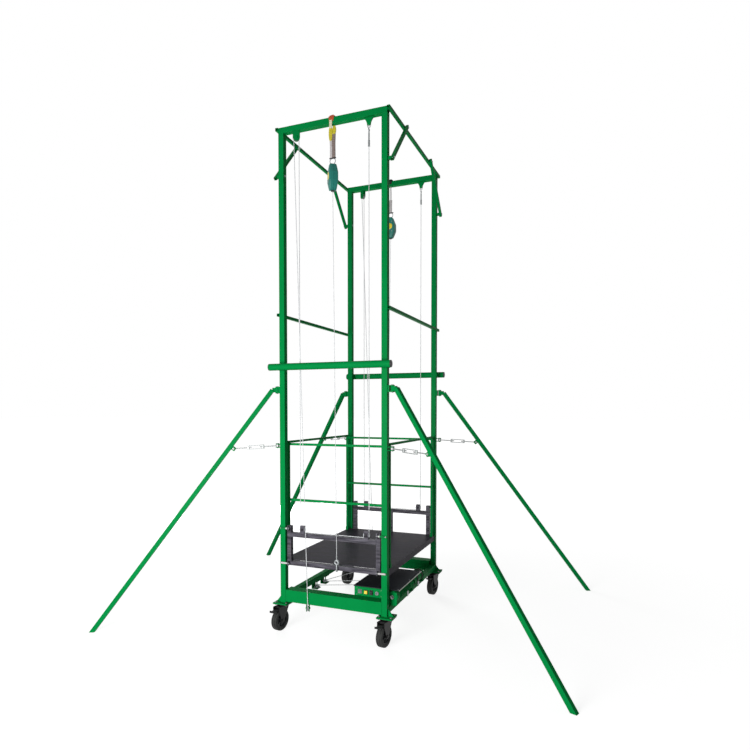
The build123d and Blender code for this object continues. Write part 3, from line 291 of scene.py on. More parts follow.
# Guard-rail weld beads: the same fillets where the end rails meet the inner faces of their uprights,
# and where the side rails lie on the uprights' tops, all in 16 mm square tube.
RAIL_IN, RAIL_OUT, RAIL_BACK, RAIL_FRONT = 380, 396, 500, 516
LOW_RAIL, TOP_RAIL = (909, 925), (1310, 1326)
rail_joints = [((RAIL_IN, y, TOP_RAIL[1]), (RAIL_OUT, y, TOP_RAIL[1])) for y in (RAIL_FRONT, RAIL_BACK)]
rail_joints += [((RAIL_IN, RAIL_BACK, z), (RAIL_IN, RAIL_FRONT, z)) for z in (*TOP_RAIL, *LOW_RAIL)]
for low, high in (LOW_RAIL, TOP_RAIL):
    rail_joints.append(((RAIL_IN, RAIL_FRONT, low), (RAIL_IN, RAIL_FRONT, high)))
fit("rail_weld_beads", beads(at_corners(rail_joints)), "platform", "green_paint")


# Push-bar end plugs: black moulded polyethylene plugs pressed into the open ends of the round bars,
# each with a flat flange, a raised rim and a spigot inside the tube.
PLUG_RADIUS, PLUG_FACE = 24, 4
PUSH_BAR_END, PUSH_BAR_Y, PUSH_BAR_Z = 450, 654, 1862


def mottled(name, dark, light, patch, surface, grain=None, rounding=None):
    """Two-tone finish: a patch is (mm, detail) and a grain is (mm, detail, bump strength, depth in mm)."""
    material, place = finish(name)
    size, detail = patch
    cloud = add(material, "TexNoise", {"Vector": place, "Scale": 1000 / size, "Detail": detail})
    tone = add(material, "Mix", {0: cloud, 6: dark, 7: light}, data_type="RGBA")
    surface = {"Base Color": tone, **surface}
    if isinstance(surface["Roughness"], tuple):
        low, high = surface["Roughness"]
        surface["Roughness"] = add(material, "MapRange", {"Value": cloud, "To Min": low, "To Max": high})
    if grain:
        size, detail, strength, depth = grain
        height = add(material, "TexNoise", {"Vector": place, "Scale": 1000 / size, "Detail": detail})
        relief = {"Height": height, "Strength": strength, "Distance": depth / 1000}
        if rounding:
            relief["Normal"] = add(material, "Bevel", {"Radius": rounding / 1000}, samples=4)
        surface["Normal"] = add(material, "Bump", relief)
    add(material, "OutputMaterial", {"Surface": add(material, "BsdfPrincipled", surface)})
    return material


def facing(x, y, z):
    """Test for faces that point one way."""
    return lambda centre, normal: normal.dot(Vector((x, y, z))) > 0.9


def inset(thickness, **more):
    """Step that insets the selected faces."""
    return bpy.ops.mesh.inset, {"thickness": thickness, **more}


def moved(x, y, z):
    """Step that moves what is selected."""
    return bpy.ops.transform.translate, {"value": (x, y, z)}


def extruded(x, y, z):
    """Step that extrudes the selected faces."""
    return bpy.ops.mesh.extrude_region_move, {"TRANSFORM_OT_translate": {"value": (x, y, z)}}


def soften(piece, width, segments=2, angle=30):
    """Round a piece's sharp edges and shade it smooth."""
    bpy.context.view_layer.objects.active = piece
    modifier = piece.modifiers.new("rounded edges", "BEVEL")
    modifier.width = width
    modifier.segments = segments
    modifier.limit_method = "ANGLE"
    modifier.angle_limit = radians(angle)
    bpy.ops.object.modifier_apply(modifier=modifier.name)
    return smooth(piece)


UP, DOWN, FRONT = facing(0, 0, 1), facing(0, 0, -1), facing(0, -1, 0)

# Moulded polyethylene: soft black with a faint sheen and a fine 1.5 mm mould grain.
black_plug = mottled("black_moulded_polyethylene", "#17181A", "#2B2D30", (1.5, 3), {
    "Roughness": 0.5, "IOR": 1.5, "Specular IOR Level": 0.3}, grain=(1.5, 3, 0.2, 0.3))

plug = rod(PLUG_RADIUS, PLUG_FACE, (0, 0, PLUG_FACE / 2), sides=40)
shape(plug, "FACE", UP, inset(5), moved(0, 0, 1), inset(6), moved(0, 0, -1.5))
shape(plug, "FACE", DOWN, inset(2.4), extruded(0, 0, -16))
coat(black_plug, soften(plug, 0.8))
plug_places = []
for sx in (-1, 1):
    for sy in (-1, 1):
        seat = Vector((sx * PUSH_BAR_END, sy * PUSH_BAR_Y, PUSH_BAR_Z))
        plug_places.append(Matrix.Translation(seat) @ Matrix.Rotation(sx * pi / 2, 4, "Y"))
fit("push_bar_plugs", copies(plug, plug_places), "tower", "black_cover")
bpy.data.objects.remove(plug)


# Bolts, hinge pins and sheave pins: zinc-plated hexagon bolts with washers and nuts through the
# knee braces, the same sprayed over in the sheave cheeks, and headed pins in the outrigger ears.
HEX_RADIUS, WASHER_RADIUS, WASHER, HEAD, NUT = 7, 7.5, 1.3, 3.7, 2.6
BOLT_RADIUS, PIN_RADIUS, PIN_HEAD = 4, 6, 4
BRACE_OUT, BRACE_SEATS = 445, ((POST_IN, POST_Y, 3195), (POST_OUT, 295, 3512))
PIN_X, CHEEK_OUT = 435, 11.4
TOP_SHEAVE, BASE_SHEAVE = (-268.6, 587.6, 3440), (-187.5, 595.3, 176)
TOP_AXIS, BASE_AXIS = (-0.5878, -0.809), (0.921, -0.39)
TURN_SHEAVE_X, TURN_SHEAVE_Y, TURN_PIN, TURN_SPACERS = -384, {-1: -84, 1: 67}, (142.5, 205), (153, 170)

# Bright zinc plate: a cool grey metal with cloudy passivated patches 12 mm across and a fine 1.2 mm grain.
zinc = mottled("bright_zinc_plate", "#686C6E", "#9EA1A2", (12, 5), {
    "Metallic": 0.9, "Roughness": (0.28, 0.5)}, grain=(1.2, 2, 0.1, 0.2), rounding=0.8)


def bevelled(offset, segments):
    """Step that bevels the selected edges."""
    return bpy.ops.mesh.bevel, {"offset": offset, "segments": segments}


def above(height):
    """Test for edges that lie above a height."""
    return lambda a, b: min(a.z, b.z) > height


def at_ends(axis):
    """Test for the faces at both ends along an axis."""
    return lambda centre, normal: abs(normal["XYZ".index(axis)]) > 0.9


def washer():
    """Flat washer lying on z = 0."""
    return soften(rod(WASHER_RADIUS, WASHER, (0, 0, WASHER / 2), sides=28), 0.3, 1)


hexagon = rod(HEX_RADIUS, HEAD, (0, 0, WASHER + HEAD / 2), sides=6)
shape(hexagon, "FACE", UP, inset(0.8), moved(0, 0, 0.3))
bolt_head = joined([soften(hexagon, 0.35), washer()])
bolt_tip = rod(BOLT_RADIUS, 5, (0, 0, 2.5), sides=20)
shape(bolt_tip, "FACE", UP, inset(0.7), moved(0, 0, 0.5))
smooth(bolt_tip)
nut = soften(rod(HEX_RADIUS, NUT, (0, 0, WASHER + NUT / 2), sides=6), 0.35)
bolt_nut = joined([nut, *copies(bolt_tip, [Matrix()]), washer()])
pin_head = rod(10, PIN_HEAD, (0, 0, PIN_HEAD / 2))
shape(pin_head, "EDGE", above(PIN_HEAD - 0.1), bevelled(1.6, 3))
smooth(pin_head)
pin_tip = rod(PIN_RADIUS, PIN_HEAD, (0, 0, PIN_HEAD / 2), sides=24)
shape(pin_tip, "EDGE", above(PIN_HEAD - 0.1), bevelled(1, 2))
smooth(pin_tip)
collar = soften(rod(9.5, 1.4, (0, 0, 0.7), sides=28), 0.3, 1)
split_pin = rod(1.1, 21, (0, 0, 2.7), "Y", 10)
shape(split_pin, "EDGE", running("Y"), divided(6))
shape(split_pin, "VERT", lambda p: p.y > 7, moved(2.4, -0.6, 0))
pin_foot = joined([pin_tip, *copies(collar, [Matrix()]), smooth(split_pin, 60)])
shank = rod(1, 1, sides=20)
shape(shank, "FACE", at_ends("Z"), inset(0.2))
coat(zinc, bolt_head, bolt_nut, pin_head, pin_foot, smooth(shank))


def fastened(first, last, radius, near, far):
    """A shank between two seats, with one end piece outside each."""
    reach = (Vector(last) - Vector(first)).length
    half = Matrix.Translation((0, 0, reach / 2))
    parts = copies(shank, [along(first, last) @ Matrix.Diagonal((radius, radius, reach, 1))])
    parts += copies(near, [along(last, first) @ half])
    return parts + copies(far, [along(first, last) @ half])


fasteners, sheave_pins = [], []
for sx, sy in CORNERS.values():
    for inner, y, z in BRACE_SEATS:
        ends = (sx * BRACE_OUT, sy * y, z), (sx * inner, sy * y, z)
        fasteners += fastened(*ends, BOLT_RADIUS, bolt_head, bolt_nut)
    for low, high in reversed(EARS):
        ends = (sx * PIN_X, sy * POST_Y, low), (sx * PIN_X, sy * POST_Y, high)
        fasteners += fastened(*ends, PIN_RADIUS, pin_foot, pin_head)
for sy, turn_y in TURN_SHEAVE_Y.items():
    top_axis = Vector((sy * TOP_AXIS[0], TOP_AXIS[1], 0))
    base_axis = Vector((BASE_AXIS[0], sy * BASE_AXIS[1], 0)).normalized()
    for (x, y, z), axis in ((TOP_SHEAVE, top_axis), (BASE_SHEAVE, base_axis)):
        ends = [Vector((x, sy * y, z)) + side * CHEEK_OUT * axis for side in (-1, 1)]
        ends.sort(key=lambda end: sy * end.y)
        sheave_pins += fastened(*ends, BOLT_RADIUS, bolt_nut, bolt_head)
    ends = [(TURN_SHEAVE_X, turn_y, z) for z in TURN_PIN]
    sheave_pins += fastened(*ends, BOLT_RADIUS, bolt_head, bolt_tip)
    for z in TURN_SPACERS:
        seat = Matrix.Translation((TURN_SHEAVE_X, turn_y, z))
        sheave_pins += copies(collar, [seat @ Matrix.Diagonal((0.7, 0.7, 1, 1))])
coat(zinc, *fasteners)
coat(green, *sheave_pins)
fit("bolts_and_pins_plated", fasteners + sheave_pins, "tower", "zinc", "bolts_and_pins")


# Rope anchors and beam straps: forged eye, thimble, turnbuckle and pressed sleeve at the fixed end of
# each right-hand fall, and flat plated straps that clamp the drum pedestals to the side beam.
ANCHOR_X, ROPE_Y = 268, 577
EYE_Z, THIMBLE_Z, TURNBUCKLE_Z, SLEEVE_Z, PRESSED = 3424, 3400, 3362, 3315, (3307, 3323)
TURNBUCKLE_LENGTH, TURNBUCKLE_CUTS = 44, 12
STRAP_X, STRAP_Z, STRAP_WIDTH, STRAP_HEIGHT, STRAP_WALL = 385, 225.5, 46, 41, 2.9
STRAP_EDGES = ((-185, -155), (69, 105))


def block(size, centre=(0, 0, 0)):
    """Start a square piece."""
    return start("cube", size=1, location=centre, scale=size)


def walled(piece, thickness):
    """Give an open sheet its thickness, inwards."""
    wall = piece.modifiers.new("wall thickness", "SOLIDIFY")
    wall.thickness = thickness
    wall.offset = -1
    bpy.context.view_layer.objects.active = piece
    bpy.ops.object.modifier_apply(modifier=wall.name)
    return piece


anchor_parts = []
for y in (-ROPE_Y, ROPE_Y):
    eye = start("torus", major_segments=32, minor_segments=12, major_radius=8, minor_radius=3,
                location=(ANCHOR_X, y, EYE_Z), rotation=AXIS_TURN["Y"])
    thimble = start("torus", major_segments=32, minor_segments=10, major_radius=9, minor_radius=3,
                    location=(ANCHOR_X, y, THIMBLE_Z), rotation=AXIS_TURN["X"])
    shape(thimble, "VERT", lambda p: p.z < THIMBLE_Z, resized((1, 0.55, 1.9), (ANCHOR_X, y, THIMBLE_Z)))
    turnbuckle = rod(5.5, TURNBUCKLE_LENGTH, (ANCHOR_X, y, TURNBUCKLE_Z), sides=20)
    shape(turnbuckle, "EDGE", running("Z"), divided(TURNBUCKLE_CUTS))
    foot, ripple = TURNBUCKLE_Z - TURNBUCKLE_LENGTH / 2, TURNBUCKLE_LENGTH / (TURNBUCKLE_CUTS + 1)
    shape(turnbuckle, "VERT", lambda p: round((p.z - foot) / ripple) % 2,
          resized((0.8, 0.8, 1), (ANCHOR_X, y, TURNBUCKLE_Z)))
    sleeve = rod(7, 40, (ANCHOR_X, y, SLEEVE_Z), sides=28)
    shape(sleeve, "EDGE", running("Z"), divided(9))
    for z in PRESSED:
        shape(sleeve, "VERT", lambda p: abs(p.z - z) < 3, resized((0.8, 1, 1), (ANCHOR_X, y, z)))
    anchor_parts += [smooth(part, 60) for part in (eye, thimble, turnbuckle, sleeve)]
for near, far in STRAP_EDGES:
    strap = block((STRAP_WIDTH, far - near, STRAP_HEIGHT), (STRAP_X, (near + far) / 2, STRAP_Z))
    shape(strap, "FACE", lambda c, n: n.z > 0.9 or abs(n.y) > 0.9, (bpy.ops.mesh.delete, {"type": "FACE"}))
    anchor_parts.append(soften(walled(strap, STRAP_WALL), 0.6))
coat(zinc, *anchor_parts)
fit("anchors_and_straps", anchor_parts, "tower", "zinc", "galvanised_fittings")


# Casters: 150 mm swivel casters with black polyethylene wheels, charcoal rubber tyres and pressed forks,
# each bolted up through the tower's corner plate; a foot pedal with three ridges locks the wheel.
WHEEL_RADIUS, WHEEL_HALF, HUB_RADIUS, RECESS = 75, 22.5, 53, 3.5
GROOVE_IN, GROOVE_OUT = 9, 12
CASTER_X, CASTER_Y, CASTER_TURN, TRAIL = 395, 580, radians(-8), 38
GRIP_Z, GRIP_ROWS = 152.4, (-90, -100, -110)
MOUNT_X, MOUNT_Y, MOUNT_BOTTOM = 42, 33, 180

# Rubber tyre: matt charcoal, dusty in patches 40 mm across, with a fine 2 mm grain.
rubber = mottled("charcoal_rubber", "#1B1C1D", "#3A3B39", (40, 5), {
    "Roughness": 0.75, "IOR": 1.52, "Specular IOR Level": 0.25}, grain=(2, 3, 0.25, 0.4))

# Black stove enamel on pressed steel: deep black, semi-gloss, with a slight 4 mm orange peel.
black_steel = mottled("black_stove_enamel", "#0C0C0D", "#1F1F20", (50, 5), {
    "Roughness": 0.4, "IOR": 1.5, "Specular IOR Level": 0.2}, grain=(4, 2, 0.1, 0.5), rounding=2)
dress(black_steel, "caster_mounts", *(f"caster_fork_{corner}" for corner in CORNERS),
      *(f"brake_pedal_{corner}" for corner in CORNERS))


def sliced(point, normal):
    """Step that cuts the selected faces along a plane."""
    return bpy.ops.mesh.bisect, {"plane_co": point, "plane_no": normal}


def everywhere(centre, normal):
    """Test that takes every face."""
    return True


BRIDGED = bpy.ops.mesh.bridge_edge_loops, {}

tyre = rod(WHEEL_RADIUS, 2 * WHEEL_HALF, axis="X", sides=72)
for x in (-GROOVE_OUT, -GROOVE_IN, GROOVE_IN, GROOVE_OUT):
    shape(tyre, "FACE", everywhere, sliced((x, 0, 0), (1, 0, 0)))
shape(tyre, "FACE", lambda c, n: GROOVE_IN < abs(c.x) < GROOVE_OUT,
      extruded(0, 0, 0), resized((1, 0.965, 0.965)))
shape(tyre, "FACE", lambda c, n: abs(n.x) > 0.9 and abs(c.x) > 20, inset(WHEEL_RADIUS - HUB_RADIUS), BRIDGED)
shape(tyre, "EDGE", lambda a, b: min(abs(a.x), abs(b.x)) > 22 and min(hypot(a.y, a.z), hypot(b.y, b.z)) > 70,
      bevelled(8, 5))
coat(rubber, smooth(tyre, 35))
hub = rod(HUB_RADIUS - 0.1, 2 * (WHEEL_HALF - RECESS), axis="X", sides=72)
for side in (1, -1):
    shape(hub, "FACE", facing(side, 0, 0), inset(6), extruded(-11 * side, 0, 0))
boss = soften(rod(17, 38, axis="X", sides=40), 1.5)
rib = soften(block((32, 4.5, 34), (0, 0, 32)), 0.8)
ribs = copies(rib, [Matrix.Rotation(turn * pi / 3, 4, "X") for turn in range(6)])
wheel_hub = joined([soften(hub, 1), boss, *ribs])
coat(black_plug, wheel_hub)
wheel = joined([tyre, wheel_hub])

grips = []
for y in GRIP_ROWS:
    grip = rod(2.2, 34, (0, y, GRIP_Z), "X", 16)
    shape(grip, "FACE", at_ends("X"), inset(0.8))
    grips.append(soften(grip, 0.6))
pedal_grip = joined(grips)
coat(black_plug, pedal_grip)

mount_bolts = []
for corner, (sx, sy) in CORNERS.items():
    swivel = Matrix.Translation((sx * CASTER_X, sy * CASTER_Y, 0)) @ Matrix.Rotation(CASTER_TURN, 4, "Z")
    rolling = swivel @ Matrix.Translation((0, -TRAIL, WHEEL_RADIUS))
    wheel_node = f"caster_wheel_{corner}"
    fit(f"wheel_{corner}", copies(wheel, [rolling]), wheel_node, "wheel_tyre", wheel_node)
    fit(f"pedal_grip_{corner}", copies(pedal_grip, [swivel]), f"brake_pedal_{corner}", "black_cover")
    for step_x in (-MOUNT_X, MOUNT_X):
        for step_y in (-MOUNT_Y, MOUNT_Y):
            x, y = sx * CASTER_X + step_x, sy * CASTER_Y + step_y
            mount_bolts += fastened((x, y, MOUNT_BOTTOM), (x, y, PLATE_TOP), BOLT_RADIUS, bolt_head, bolt_nut)
coat(zinc, *mount_bolts)
fit("caster_mount_bolts", mount_bolts, "tower", "zinc")
for model in (wheel, pedal_grip, rib):
    bpy.data.objects.remove(model)


# Outrigger ties: galvanised turnbuckles between the post and the strut, a forged slotted body on two
# threaded rods, with a drilled eye on the post's pin and a bolted end in the strut's lugs.
TIE_EYE_Z, BODY_LENGTH, BODY_WIDTH, BODY_HEIGHT = 1310, 120, 12, 30
THREAD_RADIUS, SCREWED_IN, EYE_NECK, END_NECK, LUG_OUT = 4.2, 30, 11, 8, 10.8
TIE_RUN, SHORT_TIE_RUN = (1177, 562, 309.6, 1289.3), (1165, 445, 295.9, 1289.8)

# Hot-dip galvanising: pale grey metal with spangle crystals about 9 mm across and a dull bloom.
galvanised, place = finish("hot_dip_galvanised_steel")
spangle = add(galvanised, "TexVoronoi", {"Vector": place, "Scale": 1000 / 9}, "Color")
grey = add(galvanised, "RGBToBW", {"Color": spangle})
bloom = add(galvanised, "TexNoise", {"Vector": place, "Scale": 1000 / 30, "Detail": 5})
crystal = add(galvanised, "Mix", {0: grey, 6: "#85898A", 7: "#B4B8B8"}, data_type="RGBA")
dull = add(galvanised, "Mix", {0: bloom, 6: crystal, 7: "#9DA09E"}, data_type="RGBA")
rough = add(galvanised, "MapRange", {"Value": grey, "To Min": 0.38, "To Max": 0.58})
dipped = add(galvanised, "BsdfPrincipled", {"Base Color": dull, "Metallic": 0.8, "Roughness": rough})
add(galvanised, "OutputMaterial", {"Surface": dipped})


def threaded(length):
    """Threaded rod from x = 0; its thread is drawn 3 mm from crest to crest so that it shows."""
    rings = 2 * round(length / 3)
    screw_rod = rod(THREAD_RADIUS, length, (length / 2, 0, 0), "X", 14)
    shape(screw_rod, "EDGE", running("X"), divided(rings - 1))
    shape(screw_rod, "VERT", lambda p: round(p.x / length * rings) % 2, resized((1, 0.84, 0.84)))
    return smooth(screw_rod, 70)


def drilled(radius, width, bore, location, axis_turn):
    """Forged eye: a round boss with a hole along its axis."""
    boss = rod(radius, width, sides=36)
    shape(boss, "FACE", at_ends("Z"), inset(radius - bore), BRIDGED)
    soften(boss, 1.2, 3)
    boss.data.transform(Matrix.Translation(location) @ Matrix.Rotation(axis_turn, 4, "X"))
    return boss


for corner, (sx, sy) in CORNERS.items():
    run_x, run_y, end_x, end_z = SHORT_TIE_RUN if corner == "front_right" else TIE_RUN
    fall = end_z - TIE_EYE_Z
    length = hypot(end_x, fall)
    body_x = (length - BODY_LENGTH) / 2
    buckle = block((BODY_LENGTH, BODY_WIDTH, BODY_HEIGHT), (length / 2, 0, 0))
    shape(buckle, "FACE", at_ends("Y"), inset(5.5), resized((0.84, 1, 1), (length / 2, 0, 0)), BRIDGED)
    soften(buckle, 2.2, 3)
    eye_rod, end_rod = threaded(body_x + SCREWED_IN - EYE_NECK), threaded(body_x + SCREWED_IN - END_NECK)
    eye_rod.data.transform(Matrix.Translation((EYE_NECK, 0, 0)))
    end_rod.data.transform(Matrix.Translation((length - body_x - SCREWED_IN, 0, 0)))
    slope = Matrix.Translation((0, 0, TIE_EYE_Z)) @ along((0, 0, 0), (end_x, 0, fall), "X")
    slope = slope @ Matrix.Translation((-length / 2, 0, 0))
    tie_parts = [buckle, eye_rod, end_rod]
    for part in tie_parts:
        part.data.transform(slope)
    tie_parts.append(drilled(13, 17.4, PIN_RADIUS + 0.1, (0, 0, TIE_EYE_Z), 0))
    tie_parts.append(drilled(10, 11, BOLT_RADIUS - 0.1, (end_x, 0, end_z), pi / 2))
    ends = (end_x, -LUG_OUT, end_z), (end_x, LUG_OUT, end_z)
    tie_parts += fastened(*ends, BOLT_RADIUS - 0.1, bolt_head, bolt_nut)
    turn = Vector((sx * run_x, sy * run_y, 0)).to_track_quat("X", "Z").to_matrix().to_4x4()
    swing = Matrix.Translation((sx * PIN_X, sy * POST_Y, 0)) @ turn
    for part in tie_parts:
        part.data.transform(swing)
    coat(galvanised, *tie_parts)
    fit(f"tie_{corner}", tie_parts, f"outrigger_{corner}", "zinc", f"outrigger_tie_{corner}")


# Hoist ropes and lifelines: six-strand steel wire rope, 5 mm for hoisting and 4 mm for the lifelines,
# taut between their sheaves, anchors, arresters and the platform.
LOBE_DEPTH, RING_POINTS, STRANDS, RING_STEP = 0.13, 18, 6, 4.5
HOIST_ROPE, LIFELINE = (5, 36), (4, 28)
FALLS, FALL_FOOT = (("left", -254, 3439, 0.2633), ("right", ANCHOR_X, 3295, 0.222)), 724.3
LIFELINE_TOP, LIFELINE_FOOT, HOOK_Y = 3036.7, 545.3, 605
ARRESTER_X, HOOK_X = {-1: 5, 1: -6}, {-1: 40, 1: -50}

# Galvanised wire rope: light grey steel, darker in oily patches about 25 mm across.
wire = mottled("galvanised_wire_rope", "#AEB0B3", "#DEE0E2", (25, 6), {"Metallic": 0.3, "Roughness": 0.45})


def wire_rope(route, diameter, lay, step=RING_STEP):
    """Rope of twisted strands along the NURBS spline of a route."""
    curve = bpy.data.curves.new("route", "CURVE")
    curve.dimensions = "3D"
    curve.resolution_u = 32
    spline = curve.splines.new("NURBS")
    spline.points.add(len(route) - 1)
    for point, where in zip(spline.points, route):
        point.co = (*where, 1)
    spline.order_u = 3
    spline.use_endpoint_u = True
    holder = bpy.data.objects.new("route", curve)
    line = [vert.co.copy() for vert in bpy.data.meshes.new_from_object(holder).vertices]
    bpy.data.objects.remove(holder)
    spans = [(b - a).length for a, b in zip(line, line[1:])]
    total = sum(spans)
    count = max(8, round(total / step))
    centres, walked, index = [], 0, 0
    for ring in range(count + 1):
        target = total * ring / count
        while index < len(spans) - 1 and walked + spans[index] < target:
            walked += spans[index]
            index += 1
        centres.append(line[index].lerp(line[index + 1], (target - walked) / spans[index]))
    verts, faces = [], []
    heading = (centres[1] - centres[0]).normalized()
    side = heading.orthogonal().normalized()
    for ring, centre in enumerate(centres):
        ahead = centres[min(ring + 1, count)] - centres[max(ring - 1, 0)]
        side = heading.rotation_difference(ahead) @ side
        heading = ahead.normalized()
        up = heading.cross(side)
        twist = 2 * pi * total * ring / count / lay
        for point in range(RING_POINTS):
            angle = 2 * pi * point / RING_POINTS
            radius = (1 - LOBE_DEPTH + LOBE_DEPTH * cos(STRANDS * angle)) * diameter / 2
            verts.append(centre + (side * cos(angle + twist) + up * sin(angle + twist)) * radius)
    for ring in range(count):
        base, above_base = ring * RING_POINTS, (ring + 1) * RING_POINTS
        for point in range(RING_POINTS):
            after = (point + 1) % RING_POINTS
            faces.append((base + point, base + after, above_base + after, above_base + point))
    faces.append(tuple(reversed(range(RING_POINTS))))
    faces.append(tuple(range(count * RING_POINTS, (count + 1) * RING_POINTS)))
    mesh = bpy.data.meshes.new("rope")
    mesh.from_pydata(verts, [], faces)
    piece = bpy.data.objects.new("rope", mesh)
    bpy.context.collection.objects.link(piece)
    coat(wire, smooth(piece, 75))
    return piece


def straight(first, last, diameter, lay):
    """Taut rope between two points."""
    first, last = Vector(first), Vector(last)
    return wire_rope((first, first.lerp(last, 0.5), last), diameter, lay)


hoist_routes = [
    [(417.1, -66, 263.4), (-357.3, -66, 166.7), (-411, -66, 160), (-389.9, -115.8, 159.8),
     (-194.3, -578.2, 158.1), (-180, -612, 158), (-181.2, -611.8, 194.7), (-282.4, -598.7, 3421.2),
     (-283.6, -598.5, 3458), (-254, -577, 3458), (-254, -577, 3439)],
    [(417.1, 49, 263.4), (-357.9, 49, 166.6), (-411, 49, 160), (-390.7, 98.5, 159.8),
     (-193.9, 578.1, 158.1), (-180, 612, 158), (-181.2, 611.8, 194.7), (-282.4, 598.7, 3421.2),
     (-283.6, 598.5, 3458), (-254, 577, 3458), (-254, 577, 3439)]]
hoist_ropes = [wire_rope(route, *HOIST_ROPE) for route in hoist_routes]
fit("hoist_rope_runs", hoist_ropes, "tower", "rope_wire", "hoist_ropes")
for side, x, top, keep in FALLS:
    falls = [straight((x, y, top), (x, y, FALL_FOOT), *HOIST_ROPE) for y in (-ROPE_Y, ROPE_Y)]
    falls = fit(f"{side}_falls", falls, "tower", "rope_wire", f"rope_falls_{side}")
    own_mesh(falls)
lifelines = []
for sy, x in ARRESTER_X.items():
    foot = HOOK_X[sy], sy * HOOK_Y, LIFELINE_FOOT
    lifelines.append(straight((x, sy * POST_Y, LIFELINE_TOP), foot, *LIFELINE))
lifelines = fit("lifeline_ropes", lifelines, "tower", "rope_wire", "lifelines")
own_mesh(lifelines)
cross_ropes = []
for y in (-ROPE_Y, ROPE_Y):
    route = [(-254, y, 724), (-254, y, 705), (-218, y, 705), (232, y, 705), (268, y, 705), (268, y, 724)]
    cross_ropes.append(wire_rope(route, *HOIST_ROPE, 4))
fit("cross_rope_runs", cross_ropes, "platform", "rope_wire", "cross_ropes")


# Sheaves: ten turned steel rope wheels, zinc plated, each running on its own pin,
# six on the tower and four on the platform.
dress(zinc, *(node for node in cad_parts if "sheave" in node))


# Winding drum with its rope: a green enamelled steel drum that holds three close turns of each hoist rope.
# The turns lie side by side, a rope's width apart, and carry the running rope's weight by friction.
DRUM_X, DRUM_Z, WRAP_RADIUS, WRAPS, WRAP_PITCH = 412, 304, 40.9, 3, 5.3
LEAVE_ANGLE, TURN_POINTS = radians(-83), 12

# Greased wire rope: the turns on the drum, dark and dull with old grease.
greased = mottled("greased_wire_rope", "#2C302B", "#5A5E57", (12, 5), {
    "Roughness": 0.55, "Specular IOR Level": 0.2})
dress(green, "winding_drum")
windings = []
for leave_y in (-66, 49):
    route = []
    for step in range(TURN_POINTS * WRAPS + 1):
        angle = LEAVE_ANGLE - 2 * pi * step / TURN_POINTS
        radius = WRAP_RADIUS / cos(pi / TURN_POINTS) if 0 < step < TURN_POINTS * WRAPS else WRAP_RADIUS
        y = leave_y - WRAP_PITCH * step / TURN_POINTS
        route.append((DRUM_X + radius * cos(angle), y, DRUM_Z + radius * sin(angle)))
    windings.append(wire_rope(route, 4.9, 36, 4))
coat(greased, *windings)
fit("drum_windings", windings, "winding_drum", "rope_wire")


# Hoist motor: a finned tube motor with end bells and a flanged gearbox, sprayed green with the frame,
# and its turned shaft end with a circlip in the front bearing plate.
MOTOR_FRONT, MOTOR_REAR, GEARBOX_REAR, BELL = -514, -200, -185, 38
FINS, SHAFT_END = 30, -524
motor_y = (MOTOR_FRONT + MOTOR_REAR) / 2
motor_parts = [soften(rod(35, MOTOR_REAR - MOTOR_FRONT, (DRUM_X, motor_y, DRUM_Z), "Y", 56), 1)]
fin = soften(block((2, 230, 6), (0, 0, 37)), 0.6, 1)
motor_middle = Matrix.Translation((DRUM_X, motor_y, DRUM_Z))
fin_turns = [Matrix.Rotation(2 * pi * turn / FINS, 4, "Y") for turn in range(FINS)]
motor_parts += copies(fin, [motor_middle @ turn for turn in fin_turns])
bpy.data.objects.remove(fin)
for near, far, radius in ((MOTOR_FRONT, MOTOR_FRONT + BELL, 40), (MOTOR_REAR - BELL, MOTOR_REAR, 40),
                          (MOTOR_REAR, GEARBOX_REAR, 44)):
    bell = rod(radius, far - near, (DRUM_X, (near + far) / 2, DRUM_Z), "Y", 56)
    shape(bell, "FACE", at_ends("Y"), inset(5))
    motor_parts.append(soften(bell, 2, 3))
coat(green, *motor_parts)
shaft_end = rod(14, 4, (DRUM_X, SHAFT_END, DRUM_Z), "Y", 36)
shape(shaft_end, "FACE", FRONT, inset(3), moved(0, 1, 0), inset(7), moved(0, 1.5, 0))
coat(zinc, soften(shaft_end, 0.5))
fit("hoist_motor_finned", [*motor_parts, shaft_end], "tower", "green_paint", "hoist_motor")


# Drive lid: a black moulded cover with rounded edges, screwed to the green box below it, with a bare
# aluminium edging strip along its right-hand side.
LID_LEFT, LID_RIGHT, LID_FRONT, LID_REAR, LID_Z, LID_THICK, EDGING = 130, 463, -525, -25, 353.5, 7, 3
SCREW_INSET, SCREW_Z = 9, 356.4
lid_y, lid_length = (LID_FRONT + LID_REAR) / 2, LID_REAR - LID_FRONT
lid = block((LID_RIGHT - LID_LEFT, lid_length, LID_THICK), ((LID_LEFT + LID_RIGHT) / 2, lid_y, LID_Z))
shape(lid, "FACE", UP, inset(14), moved(0, 0, -0.8), inset(5), moved(0, 0, 0.8))
soften(lid, 1.8, 3)

# Moulded ABS: black with a pebbled 3 mm grain, dusty in patches 90 mm across.
lid_plastic, place = finish("black_pebbled_abs")
pebble = add(lid_plastic, "TexVoronoi", {"Vector": place, "Scale": 1000 / 3}, "Distance")
dust = add(lid_plastic, "TexNoise", {"Vector": place, "Scale": 1000 / 90, "Detail": 6})
tone = add(lid_plastic, "Mix", {0: dust, 6: "#131519", 7: "#272A30"}, data_type="RGBA")
bumpy = add(lid_plastic, "Bump", {"Height": pebble, "Strength": 0.3, "Distance": 0.0004})
moulded = add(lid_plastic, "BsdfPrincipled", {
    "Base Color": tone, "Roughness": 0.6, "Normal": bumpy, "IOR": 1.53, "Specular IOR Level": 0.15})
add(lid_plastic, "OutputMaterial", {"Surface": moulded})
coat(lid_plastic, lid)

